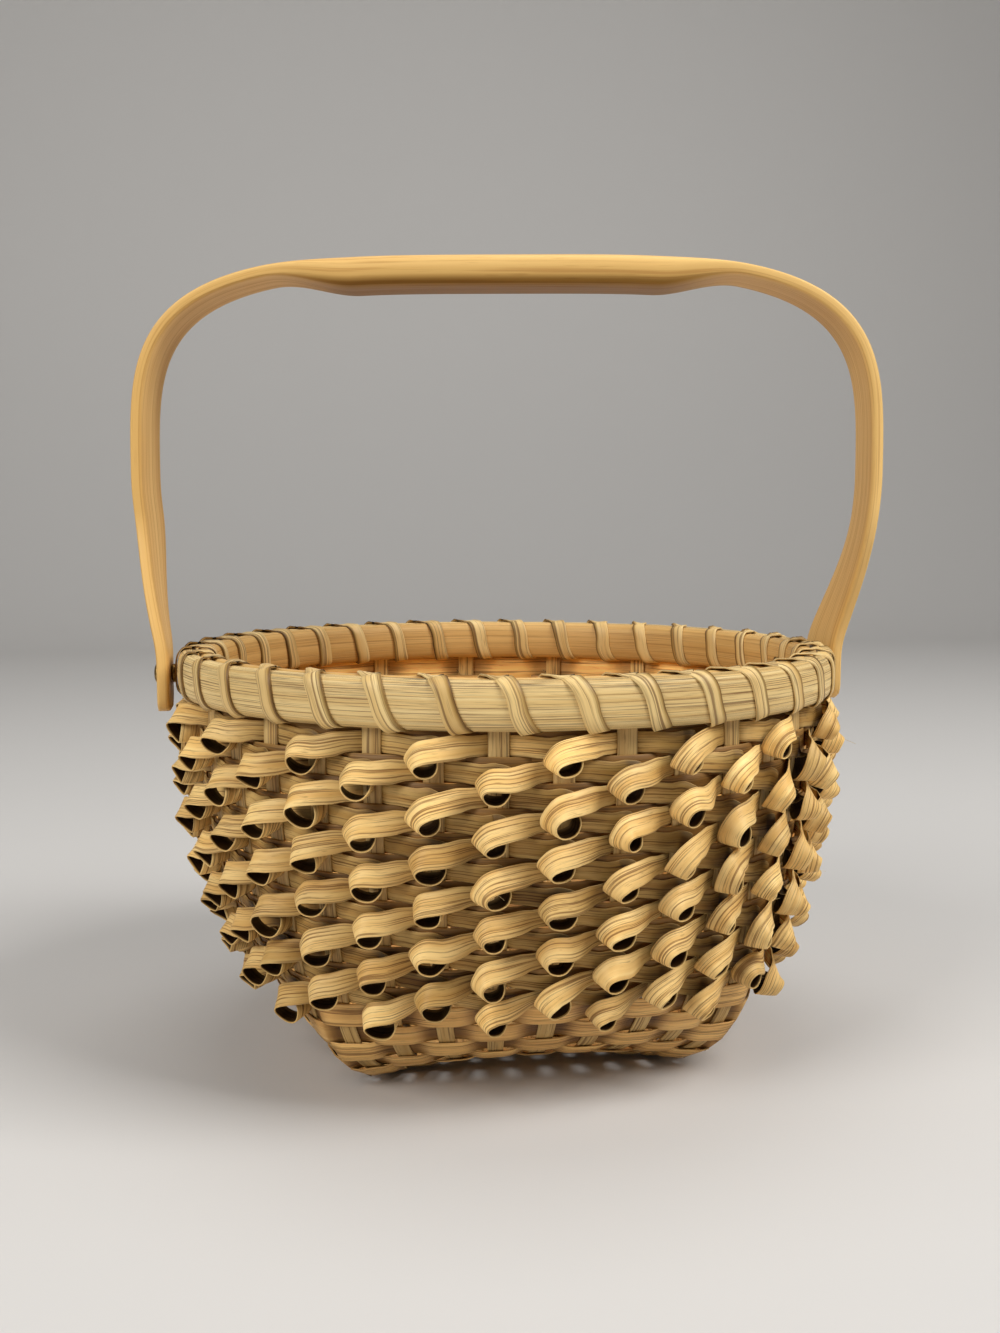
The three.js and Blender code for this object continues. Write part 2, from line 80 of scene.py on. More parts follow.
def unit(vectors: Array) -> Array:
    """Vectors scaled to length one."""
    return vectors / np.maximum(np.linalg.norm(vectors, axis=-1, keepdims=True), 1e-12)


def smooth(low: float, high: float, value: Array | float) -> Array:
    """A soft step from 0 at low to 1 at high."""
    share = np.clip((np.asarray(value, float) - low) / (high - low), 0.0, 1.0)
    return share * share * (3 - 2 * share)


def mixed(start: Array, end: Array, share: Array | float) -> Array:
    """A straight blend between two values."""
    return start + (end - start) * share


def bent(start: Array, leave: Array, end: Array, arrive: Array, share: Array) -> Array:
    """Points on a smooth bend between two places.

    Args:
        start: The first place.
        leave: The heading there, its length as strong as the pull.
        end: The last place.
        arrive: The heading there.
        share: How far along the bend each point lies, 0 to 1.

    Returns:
        The points.
    """
    return (
        (2 * share**3 - 3 * share**2 + 1) * start + (share**3 - 2 * share**2 + share) * leave
        + (3 * share**2 - 2 * share**3) * end + (share**3 - share**2) * arrive
    )


def spline(points: Array, steps: int, closed: bool) -> Array:
    """Runs a smooth curve through control rows.

    Args:
        points: Control rows, one per line, of any width.
        steps: New rows in each span.
        closed: True where the last row joins the first.

    Returns:
        The rows of the curve.
    """
    count = len(points)
    spans = count if closed else count - 1
    pick = (lambda i: points[i % count]) if closed else (lambda i: points[min(max(i, 0), count - 1)])
    share = (np.arange(steps) / steps)[:, None]
    rows = []
    for i in range(spans):
        before, here, there, after = pick(i - 1), pick(i), pick(i + 1), pick(i + 2)
        rows.append(bent(here, (there - before) / 2, there, (after - here) / 2, share))
    if not closed:
        rows.append(points[-1:])
    return np.concatenate(rows)


# Meshes

INNER_SHADING_FADE = 0.28  # share of half a strip's width over which painted shade comes onto its inner face; a negative value paints light there instead
UV_THICKNESS = 0.4  # millimetres of UV between the two faces of a strip
UV_INNER_SHIFT = 40.0  # millimetres of UV that keep the inner face's grain apart


@dataclass
class Strip:
    """A thin swept bar: a list of stations, each with a place, a width direction and a size, in millimetres."""

    centres: Array
    across: Array
    half_width: Array | float
    half_thickness: Array | float
    closed: bool = True
    crown: float = 0.06
    tone: Array | float = 0.5
    # Painted shade on the strip's inner face; a negative value paints light there instead.
    inner_painted_shading: Array | float = 0.0
    lot: float = 0.0

    def frames(self) -> tuple[Array, Array]:
        """The directions across and through the strip at each station.

        Returns:
            Unit vectors across and through, square to the strip's path.
        """
        if self.closed:
            heading = np.roll(self.centres, -1, 0) - np.roll(self.centres, 1, 0)
        else:
            heading = np.gradient(self.centres, axis=0)
        heading = unit(heading)
        through = unit(np.cross(heading, self.across))
        return np.cross(through, heading), through

    def section(self) -> tuple[Array, Array, Array]:
        """The strip's cross-section, in shares of half its width and half its thickness.

        Returns:
            Places across, places through, and how much each corner takes the pale cut edge, which is partly a painted
            highlight.
        """
        across = np.array([-0.94, -0.4, 0.4, 0.94, 1.0, 0.94, 0.72, -0.4, -0.94, -1.0])[::-1]
        through = np.array([1, 1, 1, 1, 0, -1, -1, -1, -1, 0.0])[::-1]
        edge = np.array([0.25, 0, 0, 0.25, 1, 0.25, 0, 0, 0.25, 1.0])[::-1]
        return across, through, edge

    def build(self, caps: bool = True) -> "Surface":
        """Sweeps the section along the stations.

        Args:
            caps: True where the ends of an open strip are closed.

        Returns:
            The strip as a surface with its own UV map and its tone, edge and lot values.
        """
        across, through = self.frames()
        a, b, edge = self.section()
        count, size = len(self.centres), len(a)
        width = np.broadcast_to(np.asarray(self.half_width, float), (count,))[:, None]
        thick = np.broadcast_to(np.asarray(self.half_thickness, float), (count,))[:, None]
        lift = b[None, :] * thick + self.crown * width * (1 - a[None, :] ** 2)
        points = (
            self.centres[:, None, :]
            + across[:, None, :] * (a[None, :] * width)[:, :, None]
            + through[:, None, :] * lift[:, :, None]
        )
        tone = np.broadcast_to(np.asarray(self.tone, float), (count,))[:, None]
        # Painted shade on the inner face, fading in from the edge at +1 across; negative values paint light.
        depth = np.clip((1.0 - a) / INNER_SHADING_FADE, 0.0, 1.0) * (b < 0)
        inner = np.broadcast_to(np.asarray(self.inner_painted_shading, float), (count,))[:, None]
        tones = tone - inner * depth[None, :]
        steps = np.linalg.norm(np.diff(self.centres, axis=0, append=self.centres[:1]), axis=1)
        along = np.concatenate([[0.0], np.cumsum(steps)])
        sides = np.concatenate([b, b[:1]])
        ring = np.concatenate([a * width.mean(), [a[0] * width.mean()]])
        ring = ring + sides * UV_THICKNESS + np.where(sides < 0, UV_INNER_SHIFT, 0.0)
        edges = np.broadcast_to(edge, (count, size))
        made = Surface.swept(points, along, ring, self.closed, tones, edges, caps)
        made.lot = self.lot
        return made


@dataclass
class Surface:
    """Points, faces, UVs and per-point values of one piece, in millimetres."""

    points: Array
    faces: list[tuple[int, ...]]
    uvs: Array
    tone: Array
    edge: Array
    lot: float = 0.0

    @classmethod
    def swept(
        cls, grid: Array, along: Array, ring: Array, closed: bool, tone: Array, edge: Array, caps: bool = True
    ) -> "Surface":
        """Makes a surface from a grid of sections.

        Args:
            grid: Points by station and corner.
            along: Distance of each station, with the closing one.
            ring: Distance of each corner round the section, with the closing one.
            closed: True where the last station joins the first.
            tone: Tone by station and corner.
            edge: Edge value by station and corner.
            caps: True where an open surface gets end caps.

        Returns:
            The surface.
        """
        count, size = grid.shape[:2]
        spans = count if closed else count - 1
        i = np.repeat(np.arange(spans), size)
        j = np.tile(np.arange(size), spans)
        nexti = (i + 1) % count
        nextj = (j + 1) % size
        quads = np.stack([i * size + j, i * size + nextj, nexti * size + nextj, nexti * size + j], 1)
        u = np.stack([along[i], along[i], along[i + 1], along[i + 1]], 1)
        v = np.stack([ring[j], ring[j + 1], ring[j + 1], ring[j]], 1)
        uvs = np.stack([u.ravel(), v.ravel()], 1)
        faces = [tuple(q) for q in quads.tolist()]
        if caps and not closed:
            last = (count - 1) * size
            faces.append(tuple(range(size - 1, -1, -1)))
            faces.append(tuple(range(last, last + size)))
            first_cap = np.stack([np.zeros(size), ring[:-1][::-1]], 1)
            last_cap = np.stack([np.full(size, along[count - 1]), ring[:-1]], 1)
            uvs = np.concatenate([uvs, first_cap, last_cap])
        return cls(grid.reshape(-1, 3), faces, uvs, np.ravel(tone), np.ravel(edge))

    def mesh(self, name: str) -> bpy.types.Mesh:
        """Writes the surface as a Blender mesh in metres.

        Args:
            name: The mesh's name.

        Returns:
            The mesh, smooth shaded, with UVMap, tone, edge and lot.
        """
        mesh = bpy.data.meshes.new(name)
        mesh.from_pydata((self.points * MM).tolist(), [], self.faces)
        layer = mesh.uv_layers.new(name="UVMap")
        layer.data.foreach_set("uv", (self.uvs * MM).astype(np.float32).ravel())
        lots = np.full(len(self.points), self.lot)
        for label, values in (("tone", self.tone), ("edge", self.edge), ("lot", lots)):
            item = mesh.attributes.new(label, "FLOAT", "POINT")
            item.data.foreach_set("value", values.astype(np.float32))
        mesh.polygons.foreach_set("use_smooth", [True] * len(mesh.polygons))
        mesh.update()
        return mesh


def place_piece(
    mesh: bpy.types.Mesh, name: str, material: bpy.types.Material, body: Body, nodes: Iterable[str]
) -> bpy.types.Object:
    """Links a mesh as a finished piece of the object.

    Args:
        mesh: The piece's mesh, in place, in metres.
        name: The piece's name.
        material: Its finish.
        body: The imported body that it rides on.
        nodes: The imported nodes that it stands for.

    Returns:
        The new object.
    """
    piece = bpy.data.objects.new(name, mesh)
    bpy.context.scene.collection.objects.link(piece)
    mesh.materials.clear()
    mesh.materials.append(material)
    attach(piece, body.value)
    named = list(nodes)
    if named:
        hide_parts(*named)
    LOG.info("%s: %d faces", name, len(mesh.polygons))
    return piece


def place_strip(strip: Strip, name: str, material: bpy.types.Material) -> None:
    """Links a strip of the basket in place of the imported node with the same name.

    Args:
        strip: The strip.
        name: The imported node's name.
        material: The strip's finish.
    """
    place_piece(strip.build().mesh(name), f"{name}_ash", material, Body.BASKET, [name])


# Shader groups and finishes

Tree = bpy.types.NodeTree
Socket = bpy.types.NodeSocket


class NodeDesk:
    """Adds nodes to a tree and wires them, so that a finish reads as a list of steps."""

    def __init__(self, tree: Tree) -> None:
        """Keeps the tree to work on."""
        self.tree = tree

    def add(self, kind: str, inputs: dict | None = None, **settings: object) -> bpy.types.Node:
        """Adds a node.

        Args:
            kind: The node's type name.
            inputs: Socket name or index to a value, or to a socket that feeds it.
            settings: Properties of the node itself.

        Returns:
            The node.
        """
        node = self.tree.nodes.new(kind)
        for key, value in settings.items():
            setattr(node, key, value)
        for key, value in (inputs or {}).items():
            if isinstance(value, Socket):
                self.tree.links.new(value, node.inputs[key])
            else:
                node.inputs[key].default_value = value
        return node

    def math(self, operation: str, first: object, second: object = 0.0, third: object = 0.0) -> Socket:
        """One step of arithmetic on up to three values, as a socket."""
        return self.add("ShaderNodeMath", {0: first, 1: second, 2: third}, operation=operation).outputs[0]

    def times(self, first: object, second: object) -> Socket:
        """The product of two values, as a socket."""
        return self.math("MULTIPLY", first, second)

    def vector(self, x: object, y: object, z: object = 0.0) -> Socket:
        """Three values as one vector socket."""
        return self.add("ShaderNodeCombineXYZ", {0: x, 1: y, 2: z}).outputs[0]

    def noise(self, vector: Socket, scale: float, detail: float = 2.0, roughness: float = 0.5) -> Socket:
        """The value of a noise pattern."""
        inputs = {"Vector": vector, "Scale": scale, "Detail": detail, "Roughness": roughness}
        return self.add("ShaderNodeTexNoise", inputs, noise_dimensions="3D").outputs[0]

    def ranged(self, value: Socket, low: object, high: object, start: float = 0.0, end: float = 1.0) -> Socket:
        """A value stretched from one range to another, softly and clamped."""
        inputs = {0: value, 1: low, 2: high, 3: start, 4: end}
        return self.add("ShaderNodeMapRange", inputs, interpolation_type="SMOOTHSTEP").outputs[0]

    def blend(self, share: object, first: object, second: object, how: str = "MIX") -> Socket:
        """Two colours blended by a share."""
        inputs = {0: share, 6: first, 7: second}
        return self.add("ShaderNodeMix", inputs, data_type="RGBA", blend_type=how).outputs[2]

    def store(self, geometry: Socket, name: str, value: Socket, domain: str = "POINT", kind: str = "FLOAT") -> Socket:
        """A geometry that keeps a value as a named attribute."""
        inputs = {0: geometry, "Name": name, "Value": value}
        return self.add("GeometryNodeStoreNamedAttribute", inputs, data_type=kind, domain=domain).outputs[0]


def shader_group(name: str, inputs: dict[str, str], outputs: dict[str, str]) -> tuple[Tree, NodeDesk, dict, dict]:
    """Starts a shader node group.

    Args:
        name: The group's name.
        inputs: Input names and socket types.
        outputs: Output names and socket types.

    Returns:
        The tree, a desk for it, its input sockets and its output sockets by name.
    """
    tree = bpy.data.node_groups.new(name, "ShaderNodeTree")
    for label, kind in inputs.items():
        tree.interface.new_socket(name=label, in_out="INPUT", socket_type=kind)
    for label, kind in outputs.items():
        tree.interface.new_socket(name=label, in_out="OUTPUT", socket_type=kind)
    desk = NodeDesk(tree)
    entry = desk.add("NodeGroupInput")
    leave = desk.add("NodeGroupOutput")
    return tree, desk, {s.name: s for s in entry.outputs}, {s.name: s for s in leave.inputs}


FLOAT = "NodeSocketFloat"
INTEGER = "NodeSocketInt"
MATERIAL = "NodeSocketMaterial"
COLOUR = "NodeSocketColor"
VECTOR = "NodeSocketVector"
Colour = tuple[float, float, float, float]


def srgb(red: int, green: int, blue: int) -> Colour:
    """A screen colour as linear values.

    Args:
        red: Red, 0 to 255.
        green: Green, 0 to 255.
        blue: Blue, 0 to 255.

    Returns:
        The colour, with an alpha of one.
    """
    values = [c / 255 for c in (red, green, blue)]
    linear = [c / 12.92 if c <= 0.04045 else ((c + 0.055) / 1.055) ** 2.4 for c in values]
    return (linear[0], linear[1], linear[2], 1.0)


@dataclass(frozen=True)
class AshGrain:
    """The ash grain that every splint, hoop and bow shares: fine lines, pores and broad pale bands."""

    lot_step: float = 31.7
    line_detail: float = 3.0
    line_roughness: float = 0.65
    line_range: tuple[float, float] = (0.5, 0.62)
    band_along: float = 0.4
    band_across: float = 0.22
    band_range: tuple[float, float] = (0.3, 0.7)
    pore_along: float = 9.0
    pore_across: float = 1.9
    pore_range: tuple[float, float] = (0.62, 0.74)
    pore_share: float = 0.55
    tone_gain: float = 0.95
    tone_base: float = 0.53
    darkest: float = 0.04
    green_shade: float = 1.2
    green_glow: float = 1.14
    blue_shade: float = 1.7
    blue_glow: float = 1.2
    cut_edge_and_highlight_share: float = 0.6
    mark_depth: float = 0.5
    mark_roughness: float = 0.16

    def group(self) -> Tree:
        """Builds the group.

        Returns:
            The group, which puts out a colour, a height and a roughness.
        """
        tree, desk, given, out = shader_group(
            "Ash grain",
            {"Place": VECTOR, "Tone": FLOAT, "Edge": FLOAT, "Lot": FLOAT, "Pale": COLOUR, "Body": COLOUR,
             "Streak": COLOUR, "Lines": FLOAT, "Length": FLOAT, "Streaks": FLOAT, "Gloss": FLOAT},
            {"Color": COLOUR, "Height": FLOAT, "Roughness": FLOAT},
        )
        split = desk.add("ShaderNodeSeparateXYZ", {0: given["Place"]})
        along = desk.times(split.outputs[0], given["Length"])
        across = desk.times(split.outputs[1], given["Lines"])
        layer = desk.times(given["Lot"], self.lot_step)
        fine = desk.noise(desk.vector(along, across, layer), 1.0, self.line_detail, self.line_roughness)
        wide = desk.noise(
            desk.vector(desk.times(along, self.band_along), desk.times(across, self.band_across), layer), 1.0, 2.0
        )
        pore = desk.noise(
            desk.vector(desk.times(along, self.pore_along), desk.times(across, self.pore_across), layer), 1.0, 1.0
        )
        lines = desk.ranged(fine, *self.line_range)
        pores = desk.ranged(pore, *self.pore_range)
        marks = desk.math("MAXIMUM", lines, desk.times(pores, self.pore_share))
        base = desk.blend(desk.ranged(wide, *self.band_range), given["Body"], given["Pale"])
        dark = desk.blend(desk.times(marks, given["Streaks"]), base, given["Streak"])
        # The tone attribute carries painted shade and painted light along with the wood's own tone: levels below one
        # darken the colour and warm it like shade lit by warm bounce light, levels above one lighten it.
        tone = desk.math("MULTIPLY_ADD", given["Tone"], self.tone_gain, self.tone_base)
        level = desk.math("MAXIMUM", tone, self.darkest)
        shade, glow = desk.math("MINIMUM", level, 1.0), desk.math("MAXIMUM", level, 1.0)
        green, blue = (
            desk.times(desk.math("POWER", shade, darker), desk.math("POWER", glow, lighter))
            for darker, lighter in ((self.green_shade, self.green_glow), (self.blue_shade, self.blue_glow))
        )
        toned = desk.blend(1.0, dark, desk.vector(level, green, blue), "MULTIPLY")
        # Pale cut edge, partly a painted highlight where the edges catch the light.
        cut_edge_and_highlight = desk.math("MAXIMUM", desk.times(given["Edge"], self.cut_edge_and_highlight_share), 0.0)
        tree.links.new(desk.blend(cut_edge_and_highlight, toned, given["Pale"]), out["Color"])
        tree.links.new(desk.math("SUBTRACT", fine, desk.times(marks, self.mark_depth)), out["Height"])
        rough = desk.math("MULTIPLY_ADD", marks, self.mark_roughness, given["Gloss"])
        tree.links.new(rough, out["Roughness"])
        return tree


@dataclass(frozen=True)
class WeatherStreaks:
    """The grey streaks that run along the top of the rim and its lashing."""

    streak_scale: tuple[float, float] = (34.0, 900.0)
    streak_layer: float = 3.1
    streak_roughness: float = 0.7
    streak_range: tuple[float, float] = (0.5, 0.64)
    patch_scale: tuple[float, float] = (13.0, 60.0)
    patch_layer: float = 8.4
    patch_range: tuple[float, float] = (0.36, 0.62)

    def group(self) -> Tree:
        """Builds the group.

        Returns:
            The group, which puts out the colour with its streaks.
        """
        tree, desk, given, out = shader_group(
            "Weathered streaks",
            {"Color": COLOUR, "Place": VECTOR, "Height": FLOAT, "Low": FLOAT, "High": FLOAT, "Soot": COLOUR,
             "Amount": FLOAT},
            {"Color": COLOUR},
        )
        split = desk.add("ShaderNodeSeparateXYZ", {0: given["Place"]})
        long, short = (
            desk.vector(desk.times(split.outputs[0], along), desk.times(split.outputs[1], across), layer)
            for (along, across), layer in ((self.streak_scale, self.streak_layer), (self.patch_scale, self.patch_layer))
        )
        streak = desk.ranged(desk.noise(long, 1.0, 3.0, self.streak_roughness), *self.streak_range)
        patch = desk.ranged(desk.noise(short, 1.0, 1.0), *self.patch_range)
        upper = desk.ranged(given["Height"], given["Low"], given["High"])
        share = desk.times(desk.times(desk.times(streak, patch), upper), given["Amount"])
        tree.links.new(desk.blend(share, given["Color"], given["Soot"]), out["Color"])
        return tree


def blank_material(name: str) -> tuple[bpy.types.Material, NodeDesk]:
    """Starts a material with no nodes.

    Args:
        name: The material's name.

    Returns:
        The material and a desk for its tree.
    """
    made = bpy.data.materials.new(name)
    made.use_nodes = True
    made.node_tree.nodes.clear()
    return made, NodeDesk(made.node_tree)


@dataclass(frozen=True)
class AshFinish:
    """One ash surface: its colours, how its grain runs and how rough it is."""

    name: str
    pale: Colour
    body: Colour
    streak: Colour
    lines: float = 1500.0
    length: float = 26.0
    streaks: float = 0.6
    gloss: float = 0.5
    relief: float = 0.12
    specular: float = 0.35
    weathered: float = 0.0
    weather_low: float = 0.139
    weather_high: float = 0.150
    soot: Colour = srgb(52, 47, 38)
    bump: float = 0.55

    def material(self, grain: Tree, weather: Tree) -> bpy.types.Material:
        """Builds the material.

        Args:
            grain: The shared grain group.
            weather: The shared group of grey streaks.

        Returns:
            The finished material.
        """
        made, desk = blank_material(self.name)
        place = desk.add("ShaderNodeUVMap", uv_map="UVMap").outputs[0]
        tone, edge, lot = (
            desk.add("ShaderNodeAttribute", attribute_name=label).outputs["Fac"] for label in ("tone", "edge", "lot")
        )
        group = desk.add("ShaderNodeGroup", node_tree=grain)
        for label, value in (
            ("Pale", self.pale), ("Body", self.body), ("Streak", self.streak), ("Lines", self.lines),
            ("Length", self.length), ("Streaks", self.streaks), ("Gloss", self.gloss),
        ):
            group.inputs[label].default_value = value
        for label, source in (("Place", place), ("Tone", tone), ("Edge", edge), ("Lot", lot)):
            made.node_tree.links.new(source, group.inputs[label])
        colour = group.outputs["Color"]
        if self.weathered > 0:
            spot = desk.add("ShaderNodeTexCoord").outputs["Object"]
            height = desk.add("ShaderNodeSeparateXYZ", {0: spot}).outputs[2]
            grey = desk.add("ShaderNodeGroup", node_tree=weather)
            for label, value in (
                ("Low", self.weather_low), ("High", self.weather_high), ("Amount", self.weathered),
                ("Soot", self.soot),
            ):
                grey.inputs[label].default_value = value
            for label, source in (("Color", colour), ("Place", place), ("Height", height)):
                made.node_tree.links.new(source, grey.inputs[label])
            colour = grey.outputs["Color"]
        bump = desk.add(
            "ShaderNodeBump",
            {"Height": group.outputs["Height"], "Strength": self.bump, "Distance": self.relief * MM},
        )
        shader = desk.add(
            "ShaderNodeBsdfPrincipled",
            {"Base Color": colour, "Roughness": group.outputs["Roughness"], "Normal": bump.outputs[0],
             "Specular IOR Level": self.specular},
        )
        desk.add("ShaderNodeOutputMaterial", {"Surface": shader.outputs[0]})
        return made


@dataclass(frozen=True)
class BrassFinish:
    """Dull brass with fine scratches and darker patches."""

    name: str = "Dull brass"
    clean: Colour = srgb(176, 142, 78)
    dull: Colour = srgb(112, 88, 48)
    patch_scale: float = 900.0
    patch_range: tuple[float, float] = (0.38, 0.66)
    noise_roughness: float = 0.6
    roughness_range: tuple[float, float] = (0.5, 0.28)
    scratch_scale: float = 4200.0
    scratch_depth: float = 0.05
    bump: float = 0.3

    def material(self) -> bpy.types.Material:
        """Builds the material.

        Returns:
            The finished material.
        """
        made, desk = blank_material(self.name)
        spot = desk.add("ShaderNodeTexCoord").outputs["Object"]
        patch = desk.noise(spot, self.patch_scale, 4.0, self.noise_roughness)
        scratch = desk.noise(spot, self.scratch_scale, 2.0, self.noise_roughness)
        colour = desk.blend(desk.ranged(patch, *self.patch_range), self.dull, self.clean)
        rough = desk.ranged(patch, 0.3, 0.7, *self.roughness_range)
        bump = desk.add(
            "ShaderNodeBump", {"Height": scratch, "Strength": self.bump, "Distance": self.scratch_depth * MM}
        )
        shader = desk.add(
            "ShaderNodeBsdfPrincipled",
            {"Base Color": colour, "Roughness": rough, "Normal": bump.outputs[0], "Metallic": 1.0},
        )
        desk.add("ShaderNodeOutputMaterial", {"Surface": shader.outputs[0]})
        return made


@dataclass
class Finishes:
    """The shader groups that the ash finishes share, built once."""

    grain: Tree = field(default_factory=lambda: AshGrain().group())
    weather: Tree = field(default_factory=lambda: WeatherStreaks().group())

    def ash(self, finish: AshFinish) -> bpy.types.Material:
        """Builds one ash material with the shared groups."""
        return finish.material(self.grain, self.weather)


STAKE_FINISH = AshFinish(
    "Ash stake", srgb(212, 178, 116), srgb(190, 150, 88), srgb(104, 70, 34), lines=1250, length=18, streaks=0.75
)
WEAVER_FINISH = AshFinish(
    "Ash weaver", srgb(206, 162, 96), srgb(184, 136, 74), srgb(100, 64, 30), lines=1500, length=22, streaks=0.75
)
CURL_FINISH = AshFinish(
    "Curled ash", srgb(236, 200, 132), srgb(218, 172, 100), srgb(116, 74, 32), lines=1650, length=24, streaks=0.8,
    specular=0.22,
)
RIM_FINISH = AshFinish(
    "Carved ash rim", srgb(236, 208, 148), srgb(224, 188, 122), srgb(118, 80, 42), lines=1900, length=14, streaks=0.8,
    weathered=0.9,
)
INNER_RIM_FINISH = AshFinish(
    "Carved ash inner rim", srgb(228, 186, 116), srgb(214, 168, 98), srgb(150, 104, 54), lines=1300, length=9,
    streaks=0.45,
)
LASHING_FINISH = AshFinish(
    "Ash lashing", srgb(230, 200, 138), srgb(212, 174, 108), srgb(112, 76, 38), lines=900, length=9, streaks=0.75,
    gloss=0.46, weathered=0.4,
)
HANDLE_FINISH = AshFinish(
    "Bent ash", srgb(232, 192, 122), srgb(220, 175, 103), srgb(178, 126, 64), lines=900, length=7, streaks=0.5,
    gloss=0.42, relief=0.03, specular=0.16,
)
FIBRE_FINISH = AshFinish("Loose fibre", srgb(228, 204, 152), srgb(214, 184, 126), srgb(170, 130, 80), streaks=0.3)


# The basket's own shape


@dataclass
class WallForm:
    """The woven wall: a square base that turns into a round rim, in millimetres."""

    stakes_per_side: int = 9
    base_half_side: float = 53.0
    base_arch: float = 7.0
    base_edge_height: float = 8.9316
    base_level: float = -0.6685
    rim_bottom: float = 132.9316
    top_radius: float = 117.0
    flare_reach: float = 48.0
    flare_rise: float = 1.0
    upper_reach: float = 46.0
    upper_lean: float = -1.8
    row_pitch: float = 8.1
    row_width: float = 6.6
    plain_extra: float = 1.4
    curled_rows: int = 12
    first_row_gap: float = 1.5
    stake_half_at_rim: float = 3.5
    stake_half_at_base: float = 2.75
    profile_steps: int = 400
    probe_up: float = 0.02
    probe_round: float = 0.6
    profile: Array = field(init=False)
    reach: Array = field(init=False)

    def __post_init__(self) -> None:
        """Measures the wall's profile along its length."""
        corners = np.array([
            [self.base_half_side, self.base_edge_height],
            [self.base_half_side + self.flare_reach, self.base_edge_height + self.flare_rise],
            [self.top_radius - self.upper_lean, self.rim_bottom - self.upper_reach],
            [self.top_radius, self.rim_bottom],
        ])
        t = np.linspace(0, 1, self.profile_steps)[:, None]
        self.profile = (
            (1 - t) ** 3 * corners[0] + 3 * t * (1 - t) ** 2 * corners[1]
            + 3 * t**2 * (1 - t) * corners[2] + t**3 * corners[3]
        )
        steps = np.linalg.norm(np.diff(self.profile, axis=0), axis=1)
        self.reach = np.concatenate([[0.0], np.cumsum(steps)])

    @property
    def stakes(self) -> int:
        """How many stakes stand round the rim."""
        return 4 * self.stakes_per_side

    @property
    def length(self) -> float:
        """The wall's length from the base to the rim."""
        return float(self.reach[-1])

    def row_place(self, row: float) -> float:
        """Where the middle of a row lies on the wall.

        Args:
            row: The row, from 0 at the rim.

        Returns:
            The share of the wall's length, 0 at the base and 1 at the rim.
        """
        plain = max(row - self.curled_rows, 0) * self.plain_extra
        plain += self.plain_extra / 2 if row >= self.curled_rows else 0.0
        return 1 - (self.first_row_gap + self.row_width / 2 + row * self.row_pitch + plain) / self.length

    def half_stake(self, place: Array | float) -> Array:
        """Half a stake's width at a place on the wall."""
        return mixed(self.stake_half_at_base, self.stake_half_at_rim, place)

    def point(self, stake: Array | float, place: Array | float) -> Array:
        """A point of the wall.

        Args:
            stake: Stake number round the basket, fractions allowed.
            place: Share of the wall's length, 0 at the base and 1 at the rim.

        Returns:
            One row of x, y and z for each pair.
        """
        stake, place = np.broadcast_arrays(np.asarray(stake, float), np.asarray(place, float))
        middle = (self.stakes_per_side - 1) / 2
        side = np.floor((stake + 0.5) / self.stakes_per_side)
        step = stake - side * self.stakes_per_side - middle
        share = step / (self.stakes_per_side / 2)
        at = np.clip(place, 0, 1) * self.length
        radius = np.interp(at, self.reach, self.profile[:, 0])
        height = np.interp(at, self.reach, self.profile[:, 1])
        turn = step * 2 * math.pi / self.stakes
        loose = (1 - place) ** 3
        x = radius * mixed(np.cos(turn), 1.0, loose)
        y = radius * mixed(np.sin(turn), share, loose)
        z = height - self.base_arch * share**2 * loose
        c, s = np.cos(side * math.pi / 2), np.sin(side * math.pi / 2)
        return np.stack([x * c - y * s, x * s + y * c, z], -1)

    def frame(self, stake: Array | float, place: Array | float) -> tuple[Array, Array, Array]:
        """Directions on the wall.

        Args:
            stake: Stake number round the basket, fractions allowed.
            place: Share of the wall's length.

        Returns:
            Unit vectors round the basket, up the wall and outwards.
        """
        place = np.asarray(place, float)
        above, below = np.minimum(place + self.probe_up, 1), np.maximum(place - self.probe_up, 0)
        up = unit(self.point(stake, above) - self.point(stake, below))
        stake = np.asarray(stake, float)
        round_ = unit(self.point(stake + self.probe_round, place) - self.point(stake - self.probe_round, place))
        out = unit(np.cross(round_, up))
        return np.cross(up, out), up, out

    def base_height(self, x: Array, y: Array) -> Array:
        """Height of the arched base, which comes down to the corners."""
        share = (x / self.base_half_side) ** 2 * (y / self.base_half_side) ** 2
        return self.base_level + self.base_arch * (1 - share)

    def stake_is_outer(self, stake: int, row: int) -> bool:
        """True where a stake shows on the outside of a row."""
        return (stake + row) % 2 == 0


